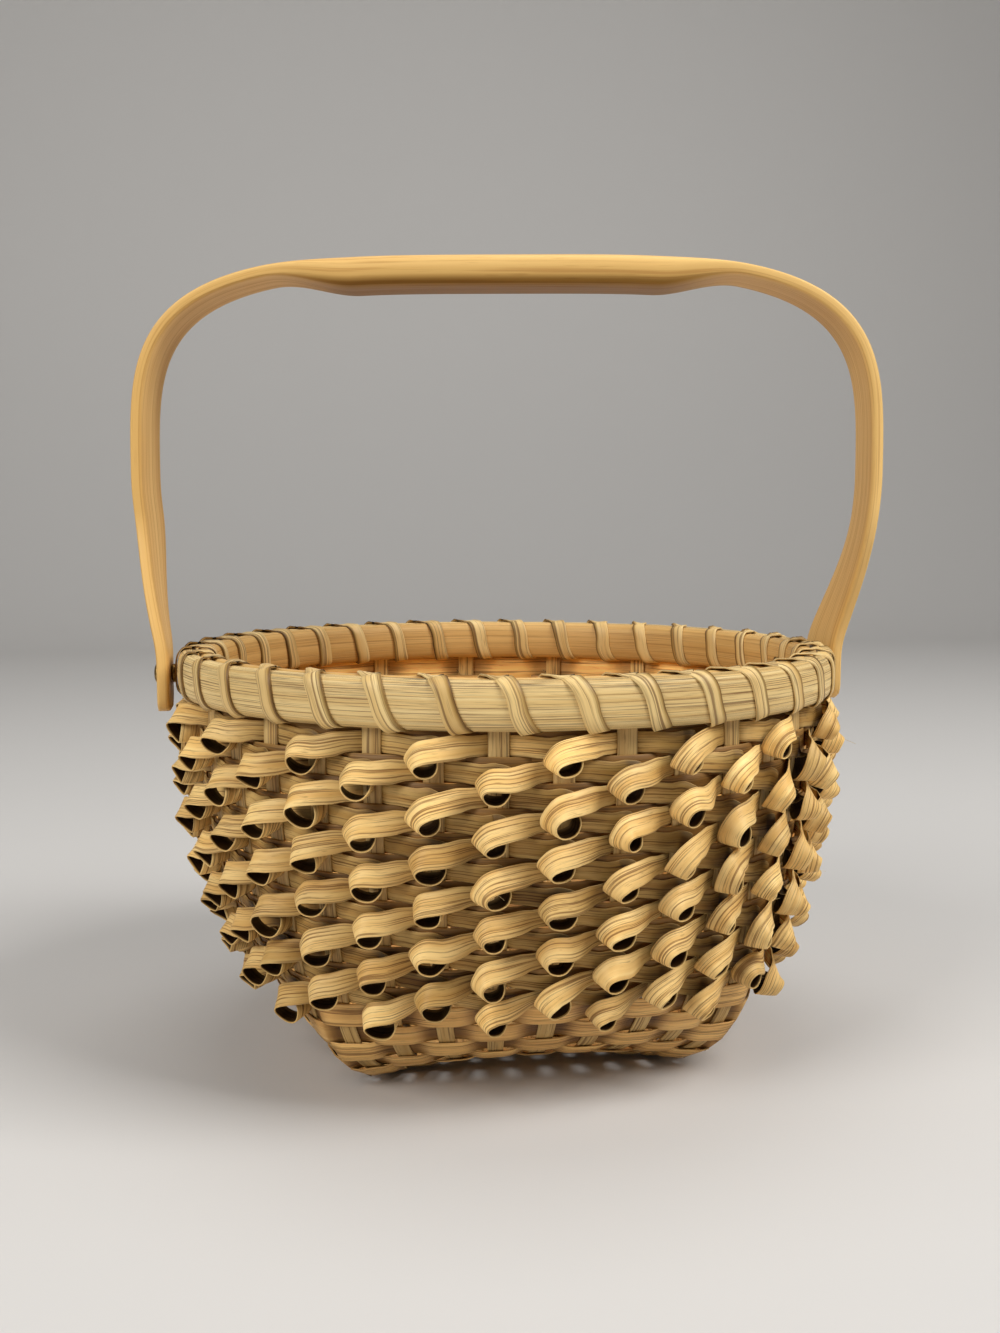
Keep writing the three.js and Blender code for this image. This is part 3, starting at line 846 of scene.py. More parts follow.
@dataclass
class Splints:
    """The eighteen splints that cross under the basket and stand up as its stakes."""

    form: WallForm
    half_thickness: float = 0.42
    base_half_width: float = 4.3
    end_height: float = 146.4
    wave: float = 1.05
    wall_start: float = 0.03
    wall_stations: int = 22
    upright_in_rim: float = 7.0
    base_blend: float = 0.3
    width_spread: tuple[float, float] = (0.95, 1.03)
    crown: float = 0.02
    tone_at_base: float = 0.3
    tone_rise: float = 0.18
    tone_spread: float = 0.06
    # Painted light on the stakes' inner faces, given as a negative painted shade.
    inner_painted_shading: float = -0.5
    lot_between: float = 0.5
    steps: int = 3
    seed: int = 11

    def path(self, splint: int, along_x: bool) -> tuple[Array, Array, Array]:
        """Control rows of one splint, from rim to rim.

        Args:
            splint: Number across the base, from 0.
            along_x: True for a splint that runs along X.

        Returns:
            Centres, width directions and places on the wall.
        """
        per = self.form.stakes_per_side
        mirrored = per - 1 - splint
        far = splint if along_x else per + mirrored
        near = 2 * per + mirrored if along_x else 3 * per + splint
        centres, across, places = [], [], []
        for stake, sign in ((near, -1.0), (far, 1.0)):
            place = np.linspace(self.wall_start, 1.0, self.wall_stations)
            points = self.form.point(float(stake), place)
            round_, _, _ = self.form.frame(float(stake), place)
            points = np.concatenate([points, points[-1:] + [[0, 0, self.upright_in_rim]], points[-1:]])
            points[-1, 2] = self.end_height
            round_ = np.concatenate([round_, round_[-1:], round_[-1:]]) * sign
            place = np.concatenate([place, [1.0, 1.0]])
            order = slice(None, None, -1) if sign < 0 else slice(None)
            centres.append(points[order])
            across.append(round_[order])
            places.append(place[order])
        pitch = 2 * self.form.base_half_side / per
        reach = (np.arange(per) - (per - 1) / 2) * pitch
        offset = np.full(per, (splint - (per - 1) / 2) * pitch)
        lift = np.where((np.arange(per) + splint) % 2 == 0, 1.0, -1.0) * (1 if along_x else -1) * self.wave
        x, y = (reach, offset) if along_x else (offset, reach)
        middle = np.stack([x, y, self.form.base_height(x, y) + lift], 1)
        side = np.tile([[0.0, 1.0, 0.0]] if along_x else [[-1.0, 0.0, 0.0]], (per, 1))
        return (
            np.concatenate([centres[0], middle, centres[1]]),
            np.concatenate([across[0], side, across[1]]),
            np.concatenate([places[0], np.zeros(per), places[1]]),
        )

    def build(self, material: bpy.types.Material) -> None:
        """Makes and dresses every splint.

        Args:
            material: The stakes' finish.
        """
        chance = np.random.default_rng(self.seed)
        for splint in range(self.form.stakes_per_side):
            for along_x in (True, False):
                name = f"splint_{'x' if along_x else 'y'}_{splint + 1}"
                centres, across, places = self.path(splint, along_x)
                rows = spline(np.concatenate([centres, across, places[:, None]], 1), self.steps, False)
                rows[:, 2] = np.maximum(rows[:, 2], self.half_thickness)
                place = rows[:, 6]
                width = self.form.half_stake(place) * chance.uniform(*self.width_spread)
                width = np.maximum(width, self.base_half_width * (1 - smooth(0.0, self.base_blend, place)))
                tone = self.tone_at_base + self.tone_rise * place + chance.uniform(-self.tone_spread, self.tone_spread)
                strip = Strip(
                    rows[:, :3], -rows[:, 3:6], width, self.half_thickness, False, self.crown, tone, self.inner_painted_shading,
                    splint + self.lot_between * along_x,
                )
                place_strip(strip, name, material)


@dataclass
class Weavers:
    """The weavers, hoops that run over one stake and under the next: curled rows above, plain rows below."""

    form: WallForm
    rows: int = 17
    half_width: float = 4.45
    plain_half_width: float = 4.9
    edge_extra: float = 0.9
    half_thickness: float = 0.28
    outer_offset: float = 0.82
    inner_offset: float = -0.82
    overlay: float = 0.62
    flat_most: float = 0.42
    flat_extra: float = 0.02
    crown: float = 0.03
    sway: float = 0.25
    sway_waves: tuple[int, int] = (3, 7)
    sway_phase: tuple[float, float] = (0, 6)
    # Painted shade: weavers in the curled rows are darkened as if shaded by the curls above them.
    curled_painted_shade_tone: float = -0.1
    plain_tone: float = 0.34
    # Painted highlight where a plain weaver passes over a stake, painted shade where it dives under one.
    plain_over_under_shade: float = 1.1
    row_tone: float = 0.08
    row_tone_step: float = 1.7
    length_tone: float = 0.07
    length_tone_step: float = 0.9
    length_tone_shift: float = 2.0
    # Painted light on the weavers' inner faces, which lie in the rim's shadow, with painted shade and light from the
    # crossings on them too.
    inner_painted_shading: float = -1.25
    inner_over_under_shade: float = 1.2
    plain_inner_over_under_shade: float = 2.2
    first_lot: float = 0.3
    steps: int = 10
    seed: int = 23

    def offset(self, stake: Array, row: int) -> Array:
        """How far a row's weaver lies outside the middle of the wall.

        Args:
            stake: Stake numbers, fractions allowed.
            row: The row, from 0 at the rim.

        Returns:
            Offsets in millimetres.
        """
        place = self.form.row_place(row)
        spacing = np.linalg.norm(self.form.point(4.0, place) - self.form.point(5.0, place))
        flat = min(self.flat_most, float(self.form.half_stake(place)) / spacing + self.flat_extra)
        nearest = np.round(stake)
        outer = (nearest + row) % 2 == 0
        inside = self.inner_offset - (self.overlay if row < self.form.curled_rows else 0.0)
        here = np.where(outer, inside, self.outer_offset)
        there = np.where(outer, self.outer_offset, inside)
        away = np.abs(stake - nearest)
        return mixed(here, there, smooth(flat, 1 - flat, away))

    def build(self, material: bpy.types.Material) -> None:
        """Makes and dresses every weaver.

        Args:
            material: The weavers' finish.
        """
        chance = np.random.default_rng(self.seed)
        for row in range(self.rows):
            stake = np.arange(self.form.stakes * self.steps) / self.steps
            place = self.form.row_place(row)
            _, up, out = self.form.frame(stake, place)
            turn = stake * 2 * math.pi / self.form.stakes
            sway = np.sin(turn * chance.integers(*self.sway_waves) + chance.uniform(*self.sway_phase)) * self.sway
            offset = self.offset(stake, row)
            centres = self.form.point(stake, place) + out * offset[:, None] + up * sway[:, None]
            curled = row < self.form.curled_rows
            # Painted light and shade from the crossings: +0.5 where the weaver lies outermost over a stake, -0.5 where
            # it passes under one.
            over = smooth(offset.min(), offset.max(), offset) - 0.5
            tone = self.curled_painted_shade_tone if curled else self.plain_tone + self.plain_over_under_shade * over
            along = stake * self.length_tone_step + row * self.length_tone_shift
            tone = tone + self.row_tone * math.cos(row * self.row_tone_step) + self.length_tone * np.sin(along)
            half = self.half_width if curled else self.plain_half_width
            half += self.edge_extra if row in (0, self.rows - 1) else 0.0
            # On the inner face: painted shade where the weaver lies behind a stake, painted light where it lies in
            # front of one.
            inner = self.inner_painted_shading + self.inner_over_under_shade * over if curled else self.plain_inner_over_under_shade * over
            strip = Strip(centres, up, half, self.half_thickness, True, self.crown, tone, inner, row + self.first_lot)
            place_strip(strip, f"weaver_{row + 1:02d}", material)


@dataclass
class Curls:
    """The overlay strips, tucked behind each outer stake and thrown into a loose curl over each inner one."""

    form: WallForm
    weavers: Weavers
    half_width: float = 3.35
    half_thickness: float = 0.24
    wide: float = 5.3
    tall: float = 5.2
    drop: float = 5.3
    reach: float = 4.6
    shift_left: float = 0.9
    tuck: float = 3.8
    bulge: float = 0.9
    tilt_at_rim: float = math.radians(37)
    tilt_at_base: float = math.radians(16)
    yaw: float = math.radians(15)
    crown_twist: float = 0.5
    roll: float = math.radians(-6)
    cone: float = 0.42
    flare: float = 1.16
    crown: float = 0.045
    clearance: float = 0.1
    tuck_depth: float = 0.76
    tuck_margin: float = 0.5
    last_turn: float = math.radians(285)
    closing: float = 0.2
    closing_from: float = math.radians(190)
    settling_from: float = math.radians(200)
    settled_twist: float = 0.55
    narrowing_from: float = math.radians(35)
    narrowing_to: float = math.radians(120)
    lead_gap: float = 1.6
    lead_lift: float = 0.4
    lead_rise: float = 0.3
    under_left: float = 2.0
    under_lift: float = 0.3
    under_drop: float = 0.9
    under_pull: float = 4.0
    rising_pull: float = 3.0
    bend_twist: tuple[float, ...] = (0.3, 0.12)
    tail_gap: float = 2.0
    tail_lift: float = 0.5
    close_spacing: float = 9.0
    spacing_range: float = 11.0
    close_size: float = 0.8
    size_gain: float = 0.2
    size_spread: tuple[float, float] = (0.87, 1.1)
    wide_spread: tuple[float, float] = (0.92, 1.08)
    tall_spread: tuple[float, float] = (0.8, 1.08)
    tilt_spread: float = math.radians(8)
    yaw_spread: float = math.radians(10)
    roll_spread: float = math.radians(10)
    place_spread: float = 0.3
    side_spread: float = 0.5
    tone: float = 0.72
    tone_drop: float = 0.026
    tone_spread: float = 0.13
    # Painted shade along each curl strip: where it comes from behind the right stake, where it bends under, and along
    # its tail.
    coming_painted_shade: tuple[float, ...] = (0.62, 0.5, 0.36, 0.2, 0.07)
    under_painted_shade: tuple[float, ...] = (0.2, 0.6, 0.9, 1.0, 1.0, 0.8)
    going_painted_shade: tuple[float, ...] = (0.7, 0.62, 0.54, 0.52)
    # Painted shade that turns the hollows of the curls nearly black.
    inner_painted_shading: float = 1.5
    first_lot: float = 0.7
    turns: int = 13
    run_rows: int = 4
    steps: int = 3
    seed: int = 37

    def tucked(self, stake: int, place: float) -> tuple[Array, Array]:
        """The strip's control rows behind an outer stake.

        Args:
            stake: The stake's number.
            place: The row's place on the wall.

        Returns:
            Centres and width directions, right edge first.
        """
        round_, up, out = self.form.frame(float(stake), place)
        half = float(self.form.half_stake(place)) - self.tuck_margin
        centre = self.form.point(float(stake), place) - out * self.tuck_depth
        steps = np.array([[half], [0.0], [-half]])
        return centre + round_ * steps, np.tile(-up, (len(steps), 1))

    def run(self, start: Array, leave: Array, end: Array, arrive: Array, rows: int) -> Array:
        """Points on a bend between two places, without the places themselves.

        Args:
            start: The first place.
            leave: The heading there, its length as strong as the pull.
            end: The last place.
            arrive: The heading there.
            rows: How many points to make.

        Returns:
            The points, evenly shared out.
        """
        return bent(start, leave, end, arrive, np.linspace(0, 1, rows + 2)[1:-1, None])

    def curl(self, stake: int, row: int, chance: np.random.Generator) -> tuple[Array, Array]:
        """The control rows of one curl over an inner stake, from its right end to its left.

        Args:
            stake: The stake's number.
            row: The row, from 0 at the rim.
            chance: The row's source of small differences.

        Returns:
            Centres and width directions.
        """
        place = self.form.row_place(row)
        round_, up, out = self.form.frame(float(stake), place)
        spacing = float(np.linalg.norm(self.form.point(stake + 1.0, place) - self.form.point(stake * 1.0, place)))
        # The curl's own size and directions, a little different each time.
        room = self.size_gain * (spacing - self.close_spacing) / self.spacing_range
        size = min(1.0, self.close_size + room) * chance.uniform(*self.size_spread)
        tilt = mixed(self.tilt_at_rim, self.tilt_at_base, row / (self.form.curled_rows - 1))
        tilt += chance.normal(0, self.tilt_spread)
        level = out * math.cos(tilt) - up * math.sin(tilt)
        upright = out * math.sin(tilt) + up * math.cos(tilt)
        yaw = self.yaw + chance.normal(0, self.yaw_spread)
        axis = level * math.cos(yaw) + round_ * math.sin(yaw)
        sideways = level * math.sin(yaw) - round_ * math.cos(yaw)
        roll = chance.normal(self.roll, self.roll_spread)
        left = sideways * math.cos(roll) - upright * math.sin(roll)
        crown = upright * math.cos(roll) + sideways * math.sin(roll)
        surface = self.weavers.outer_offset + self.weavers.half_thickness + self.clearance + self.half_thickness
        wide = self.wide * size * chance.uniform(*self.wide_spread)
        tall = self.tall * size * chance.uniform(*self.tall_spread)
        middle = (
            self.form.point(float(stake), place)
            + out * (surface + self.reach + chance.normal(0, self.place_spread))
            - up * (self.drop * (tall / self.tall) + chance.normal(0, self.place_spread))
            - round_ * (self.shift_left + chance.normal(0, self.side_spread))
        )
        # The loop, which closes towards its end and settles back against the wall.
        turn = np.linspace(0, self.last_turn, self.turns)
        spiral = 1 - self.closing * smooth(self.closing_from, self.last_turn, turn)
        settle = smooth(self.settling_from, self.last_turn, turn)
        ring = crown * (tall * np.cos(turn) * spiral)[:, None] + left * (wide * np.sin(turn) * spiral)[:, None]
        forward = self.bulge * np.sin(turn / 2) - self.tuck * settle
        loop = middle + ring + axis * forward[:, None]
        twist = mixed(self.crown_twist, 1.0, smooth(0, math.radians(90), turn)) - self.settled_twist * settle
        # The strip comes from behind the stake on the right, and goes behind the one on the left.
        half = float(self.form.half_stake(place))
        right = self.form.frame(stake + 1.0, place)
        lead = self.form.point(stake + 1.0, place) - right[0] * (half + self.lead_gap) + out * self.lead_lift
        pull = float(np.linalg.norm(loop[0] - lead))
        leave = -right[0] * pull + out * self.lead_rise * pull
        coming = self.run(lead, leave, loop[0], left * pull, self.run_rows)
        coming_twist = self.crown_twist * smooth(0, 1, np.linspace(0, 1, self.run_rows + 2)[1:-1])
        under = (
            self.form.point(float(stake), place)
            - round_ * self.under_left + out * (surface + self.under_lift) - up * self.under_drop
        )
        far = self.form.frame(stake - 1.0, place)
        tail = self.form.point(stake - 1.0, place) + far[0] * (half + self.tail_gap) + far[2] * self.tail_lift
        rising = unit(loop[-1] - loop[-2])
        bend_rows = len(self.bend_twist)
        bend = self.run(loop[-1], rising * self.rising_pull, under, -round_ * self.under_pull, bend_rows)
        away = float(np.linalg.norm(tail - under))
        going = self.run(under, -round_ * away, tail, -far[0] * away, self.run_rows - 1)
        centres = np.concatenate([lead[None], coming, loop, bend, under[None], going, tail[None]])
        share = np.concatenate([[0.0], coming_twist, twist, self.bend_twist, np.zeros(len(going) + 2)])
        lean = np.zeros_like(centres)
        first = 1 + self.run_rows
        narrowing = self.cone * smooth(self.narrowing_from, self.narrowing_to, turn) * (1 - settle)
        lean[first:first + self.turns] = unit(ring) * narrowing[:, None]
        return centres, unit(mixed(-up[None], axis[None] - lean, share[:, None]))

    def build(self, material: bpy.types.Material) -> list[Array]:
        """Makes and dresses every overlay strip.

        Args:
            material: The curls' finish.

        Returns:
            The strips' station points, by row, for the loose fibres.
        """
        stations = []
        for row in range(self.form.curled_rows):
            chance = np.random.default_rng(self.seed + row)
            place = self.form.row_place(row)
            rows = []
            for stake in range(self.form.stakes - 1, -1, -1):
                if self.form.stake_is_outer(stake, row):
                    centres, across = self.tucked(stake, place)
                    # Painted shade: the parts tucked behind outer stakes get a low tone, and their inner faces take the
                    # weavers' painted light.
                    tone = np.zeros(len(centres))
                    inner = np.full(len(centres), self.weavers.inner_painted_shading)
                    width = np.full(len(centres), self.half_width)
                else:
                    centres, across = self.curl(stake, row, chance)
                    shade = self.tone - self.tone_drop * row + chance.normal(0, self.tone_spread)
                    tone = np.full(len(centres), shade)
                    # Painted shade along the lead, the bend under the stake and the tail.
                    tone[:len(self.coming_painted_shade)] -= self.coming_painted_shade
                    tone[-self.run_rows - len(self.under_painted_shade):-self.run_rows] -= self.under_painted_shade
                    tone[-self.run_rows:] -= self.going_painted_shade
                    inner = np.full(len(centres), self.inner_painted_shading)
                    # The lead and tail take the weavers' painted light on their inner faces; the loop keeps the curls'
                    # painted shade.
                    inner[:3] = self.weavers.inner_painted_shading
                    inner[-self.run_rows - 1:] = self.weavers.inner_painted_shading
                    width = np.full(len(centres), self.half_width * self.flare)
                    width[:2] = self.half_width
                    width[-self.run_rows:] = self.half_width
                rows.append(np.concatenate([centres, across, np.stack([tone, inner, width], 1)], 1))
            path = spline(np.concatenate(rows), self.steps, True)
            strip = Strip(
                path[:, :3], path[:, 3:6], path[:, 8], self.half_thickness, True, self.crown, path[:, 6], path[:, 7],
                row + self.first_lot,
            )
            place_strip(strip, f"curl_strip_{row + 1:02d}", material)
            stations.append(path[:, :6])
        return stations


# Geometry node trees


@dataclass
class GeometryTree:
    """A geometry node tree with named inputs, run once on a mesh and turned into a plain mesh."""

    name: str
    inputs: dict[str, tuple[str, object]]
    tree: Tree = field(init=False)
    desk: NodeDesk = field(init=False)
    given: dict[str, Socket] = field(init=False)
    result: Socket = field(init=False)

    def __post_init__(self) -> None:
        """Makes the tree and its sockets."""
        self.tree = bpy.data.node_groups.new(self.name, "GeometryNodeTree")
        self.tree.interface.new_socket(name="Geometry", in_out="INPUT", socket_type="NodeSocketGeometry")
        for label, (kind, _) in self.inputs.items():
            self.tree.interface.new_socket(name=label, in_out="INPUT", socket_type=kind)
        self.tree.interface.new_socket(name="Geometry", in_out="OUTPUT", socket_type="NodeSocketGeometry")
        self.desk = NodeDesk(self.tree)
        self.given = {s.name: s for s in self.desk.add("NodeGroupInput").outputs}
        self.result = self.desk.add("NodeGroupOutput").inputs[0]

    def close(self, geometry: Socket) -> None:
        """Ends the tree in Realize Instances and Set Material.

        Args:
            geometry: The socket with the finished geometry.
        """
        real = self.desk.add("GeometryNodeRealizeInstances", {0: geometry})
        soft = self.desk.add("GeometryNodeSetShadeSmooth", {0: real.outputs[0]})
        dressed = self.desk.add("GeometryNodeSetMaterial", {0: soft.outputs[0], "Material": self.given["Material"]})
        self.tree.links.new(dressed.outputs[0], self.result)

    def run(self, mesh: bpy.types.Mesh, name: str) -> bpy.types.Mesh:
        """Evaluates the tree on a mesh.

        Args:
            mesh: The mesh that feeds the tree.
            name: The name of the result.

        Returns:
            The result as a plain mesh.
        """
        host = bpy.data.objects.new(f"{name}_host", mesh)
        bpy.context.scene.collection.objects.link(host)
        modifier = host.modifiers.new(self.name, "NODES")
        modifier.node_group = self.tree
        for item in self.tree.interface.items_tree:
            if item.in_out == "INPUT" and item.name in self.inputs:
                modifier[item.identifier] = self.inputs[item.name][1]
        graph = bpy.context.evaluated_depsgraph_get()
        made = bpy.data.meshes.new_from_object(host.evaluated_get(graph))
        made.name = name
        host.modifiers.remove(modifier)
        bpy.data.objects.remove(host)
        return made


def outward(mesh: bpy.types.Mesh) -> bpy.types.Mesh:
    """Turns a closed mesh round if it encloses a negative volume.

    Args:
        mesh: The mesh.

    Returns:
        The same mesh, with its faces pointing outwards.
    """
    mesh.calc_loop_triangles()
    points = np.array([v.co[:] for v in mesh.vertices])
    corners = np.array([t.vertices[:] for t in mesh.loop_triangles])
    a, b, c = (points[corners[:, k]] for k in range(3))
    if float(np.einsum("ij,ij->i", a, np.cross(b, c)).sum()) < 0:
        mesh.flip_normals()
    return mesh


@dataclass
class RimHoops:
    """The two half-round hoops that hold the stake ends, swept round the basket by geometry nodes."""

    bottom: float = 132.9316
    top: float = 148.9316
    outer_face: float = 117.6
    inner_face: float = 116.4
    full: float = 6.4
    edge: float = 1.6
    back_inset: float = 0.3
    rise_power: float = 0.8
    swell_power: float = 0.55
    outline_points: int = 19
    segments: int = 252
    carving: float = 0.5
    knife_rise: float = 60.0
    knife_scale: float = 7.0
    waver_layer: float = 4.0
    waver_scale: float = 2.6
    tone_layer: float = 9.0
    tone_scale: float = 1.7
    uv_height: float = 45.0
    tone_range: tuple[float, float] = (0.34, 0.5)

    def outline(self, face: float, bulge: float, lift: float = 0.0) -> Array:
        """The rounded side of a hoop's section, from its lower edge to its upper one.

        Args:
            face: Radius of the flat face.
            bulge: 1 for a hoop that bulges outwards, -1 for inwards.
            lift: How far the line stands off the wood.

        Returns:
            Rows of radius and height, in millimetres.
        """
        turn = np.radians(np.linspace(-90, 90, self.outline_points))
        height = (self.top - self.bottom) / 2 + lift
        rise = np.sign(turn) * np.abs(np.sin(turn)) ** self.rise_power * height
        swell = mixed(self.edge, self.full + lift, np.abs(np.cos(turn)) ** self.swell_power)
        return np.stack([face + bulge * swell, (self.top + self.bottom) / 2 + rise], 1)

    def section(self, face: float, bulge: float) -> bpy.types.Mesh:
        """A hoop's closed section as points in metres, X outwards and Y up, with the first one repeated.

        Args:
            face: Radius of the flat face.
            bulge: 1 for a hoop that bulges outwards, -1 for inwards.

        Returns:
            A mesh of loose points.
        """
        line = self.outline(face, bulge)
        back = np.array([[face, self.top - self.back_inset], [face, self.bottom + self.back_inset]])
        loop = np.concatenate([line, back, line[:1]])
        mesh = bpy.data.meshes.new("rim_section")
        mesh.from_pydata([(x * MM, z * MM, 0.0) for x, z in loop.tolist()], [], [])
        return mesh

    def tree(self, material: bpy.types.Material, corners: int) -> GeometryTree:
        """The tree that sweeps a section round the basket and leaves it uneven, as a drawknife does.

        Args:
            material: The rim's finish.
            corners: Points of the section.

        Returns:
            The tree, ready to run on a section.
        """
        made = GeometryTree(
            "Rim sweep",
            {"Segments": (INTEGER, self.segments), "Corners": (INTEGER, corners),
             "Carving": (FLOAT, self.carving * MM), "Girth": (FLOAT, 2 * math.pi * self.outer_face * MM),
             "Height": (FLOAT, self.uv_height * MM), "Material": (MATERIAL, material)},
        )
        desk, given = made.desk, made.given
        columns = desk.math("ADD", given["Segments"], 1.0)
        grid = desk.add("GeometryNodeMeshGrid", {2: columns, 3: given["Corners"]})
        index = desk.add("GeometryNodeInputIndex").outputs[0]
        corner = desk.math("MODULO", index, given["Corners"])
        station = desk.math("FLOOR", desk.math("DIVIDE", index, given["Corners"]))
        here = desk.add("GeometryNodeInputPosition").outputs[0]
        sample = desk.add("GeometryNodeSampleIndex", {0: given["Geometry"]}, data_type="FLOAT_VECTOR")
        made.tree.links.new(here, sample.inputs["Value"])
        made.tree.links.new(corner, sample.inputs["Index"])
        spot = desk.add("ShaderNodeSeparateXYZ", {0: sample.outputs[0]})
        turn = desk.times(station, desk.math("DIVIDE", 2 * math.pi, given["Segments"]))
        cosine, sine = desk.math("COSINE", turn), desk.math("SINE", turn)
        rise = desk.times(spot.outputs[1], self.knife_rise)
        knife = desk.noise(desk.vector(cosine, sine, rise), self.knife_scale, 3.0)
        waver = desk.noise(desk.vector(cosine, sine, self.waver_layer), self.waver_scale, 1.0)
        cut = desk.times(desk.math("SUBTRACT", knife, 0.5), given["Carving"])
        radius = desk.math("ADD", spot.outputs[0], cut)
        sag = desk.times(desk.math("SUBTRACT", waver, 0.5), given["Carving"])
        height = desk.math("ADD", spot.outputs[1], desk.math("ADD", sag, cut))
        place = desk.vector(desk.times(radius, cosine), desk.times(radius, sine), height)
        set_ = desk.add("GeometryNodeSetPosition", {0: grid.outputs[0], "Position": place})
        uv = desk.add("ShaderNodeSeparateXYZ", {0: grid.outputs[1]})
        flat = desk.vector(desk.times(uv.outputs[0], given["Girth"]), desk.times(uv.outputs[1], given["Height"]))
        kept = desk.store(set_.outputs[0], "UVMap", flat, "CORNER", "FLOAT2")
        patch = desk.noise(desk.vector(cosine, sine, self.tone_layer), self.tone_scale, 1.0)
        tone = desk.ranged(patch, 0.3, 0.7, *self.tone_range)
        closed = desk.add("GeometryNodeMergeByDistance", {0: desk.store(kept, "tone", tone), "Distance": 1e-6})
        made.close(closed.outputs[0])
        return made

    def build(self, outside: bpy.types.Material, inside: bpy.types.Material) -> None:
        """Makes and dresses both hoops.

        Args:
            outside: The outer hoop's finish.
            inside: The inner hoop's finish.
        """
        for name, face, bulge, material in (
            ("rim_outer", self.outer_face, 1.0, outside), ("rim_inner", self.inner_face, -1.0, inside),
        ):
            section = self.section(face, bulge)
            made = outward(self.tree(material, len(section.vertices)).run(section, name))
            place_piece(made, f"{name}_ash", material, Body.BASKET, [name])


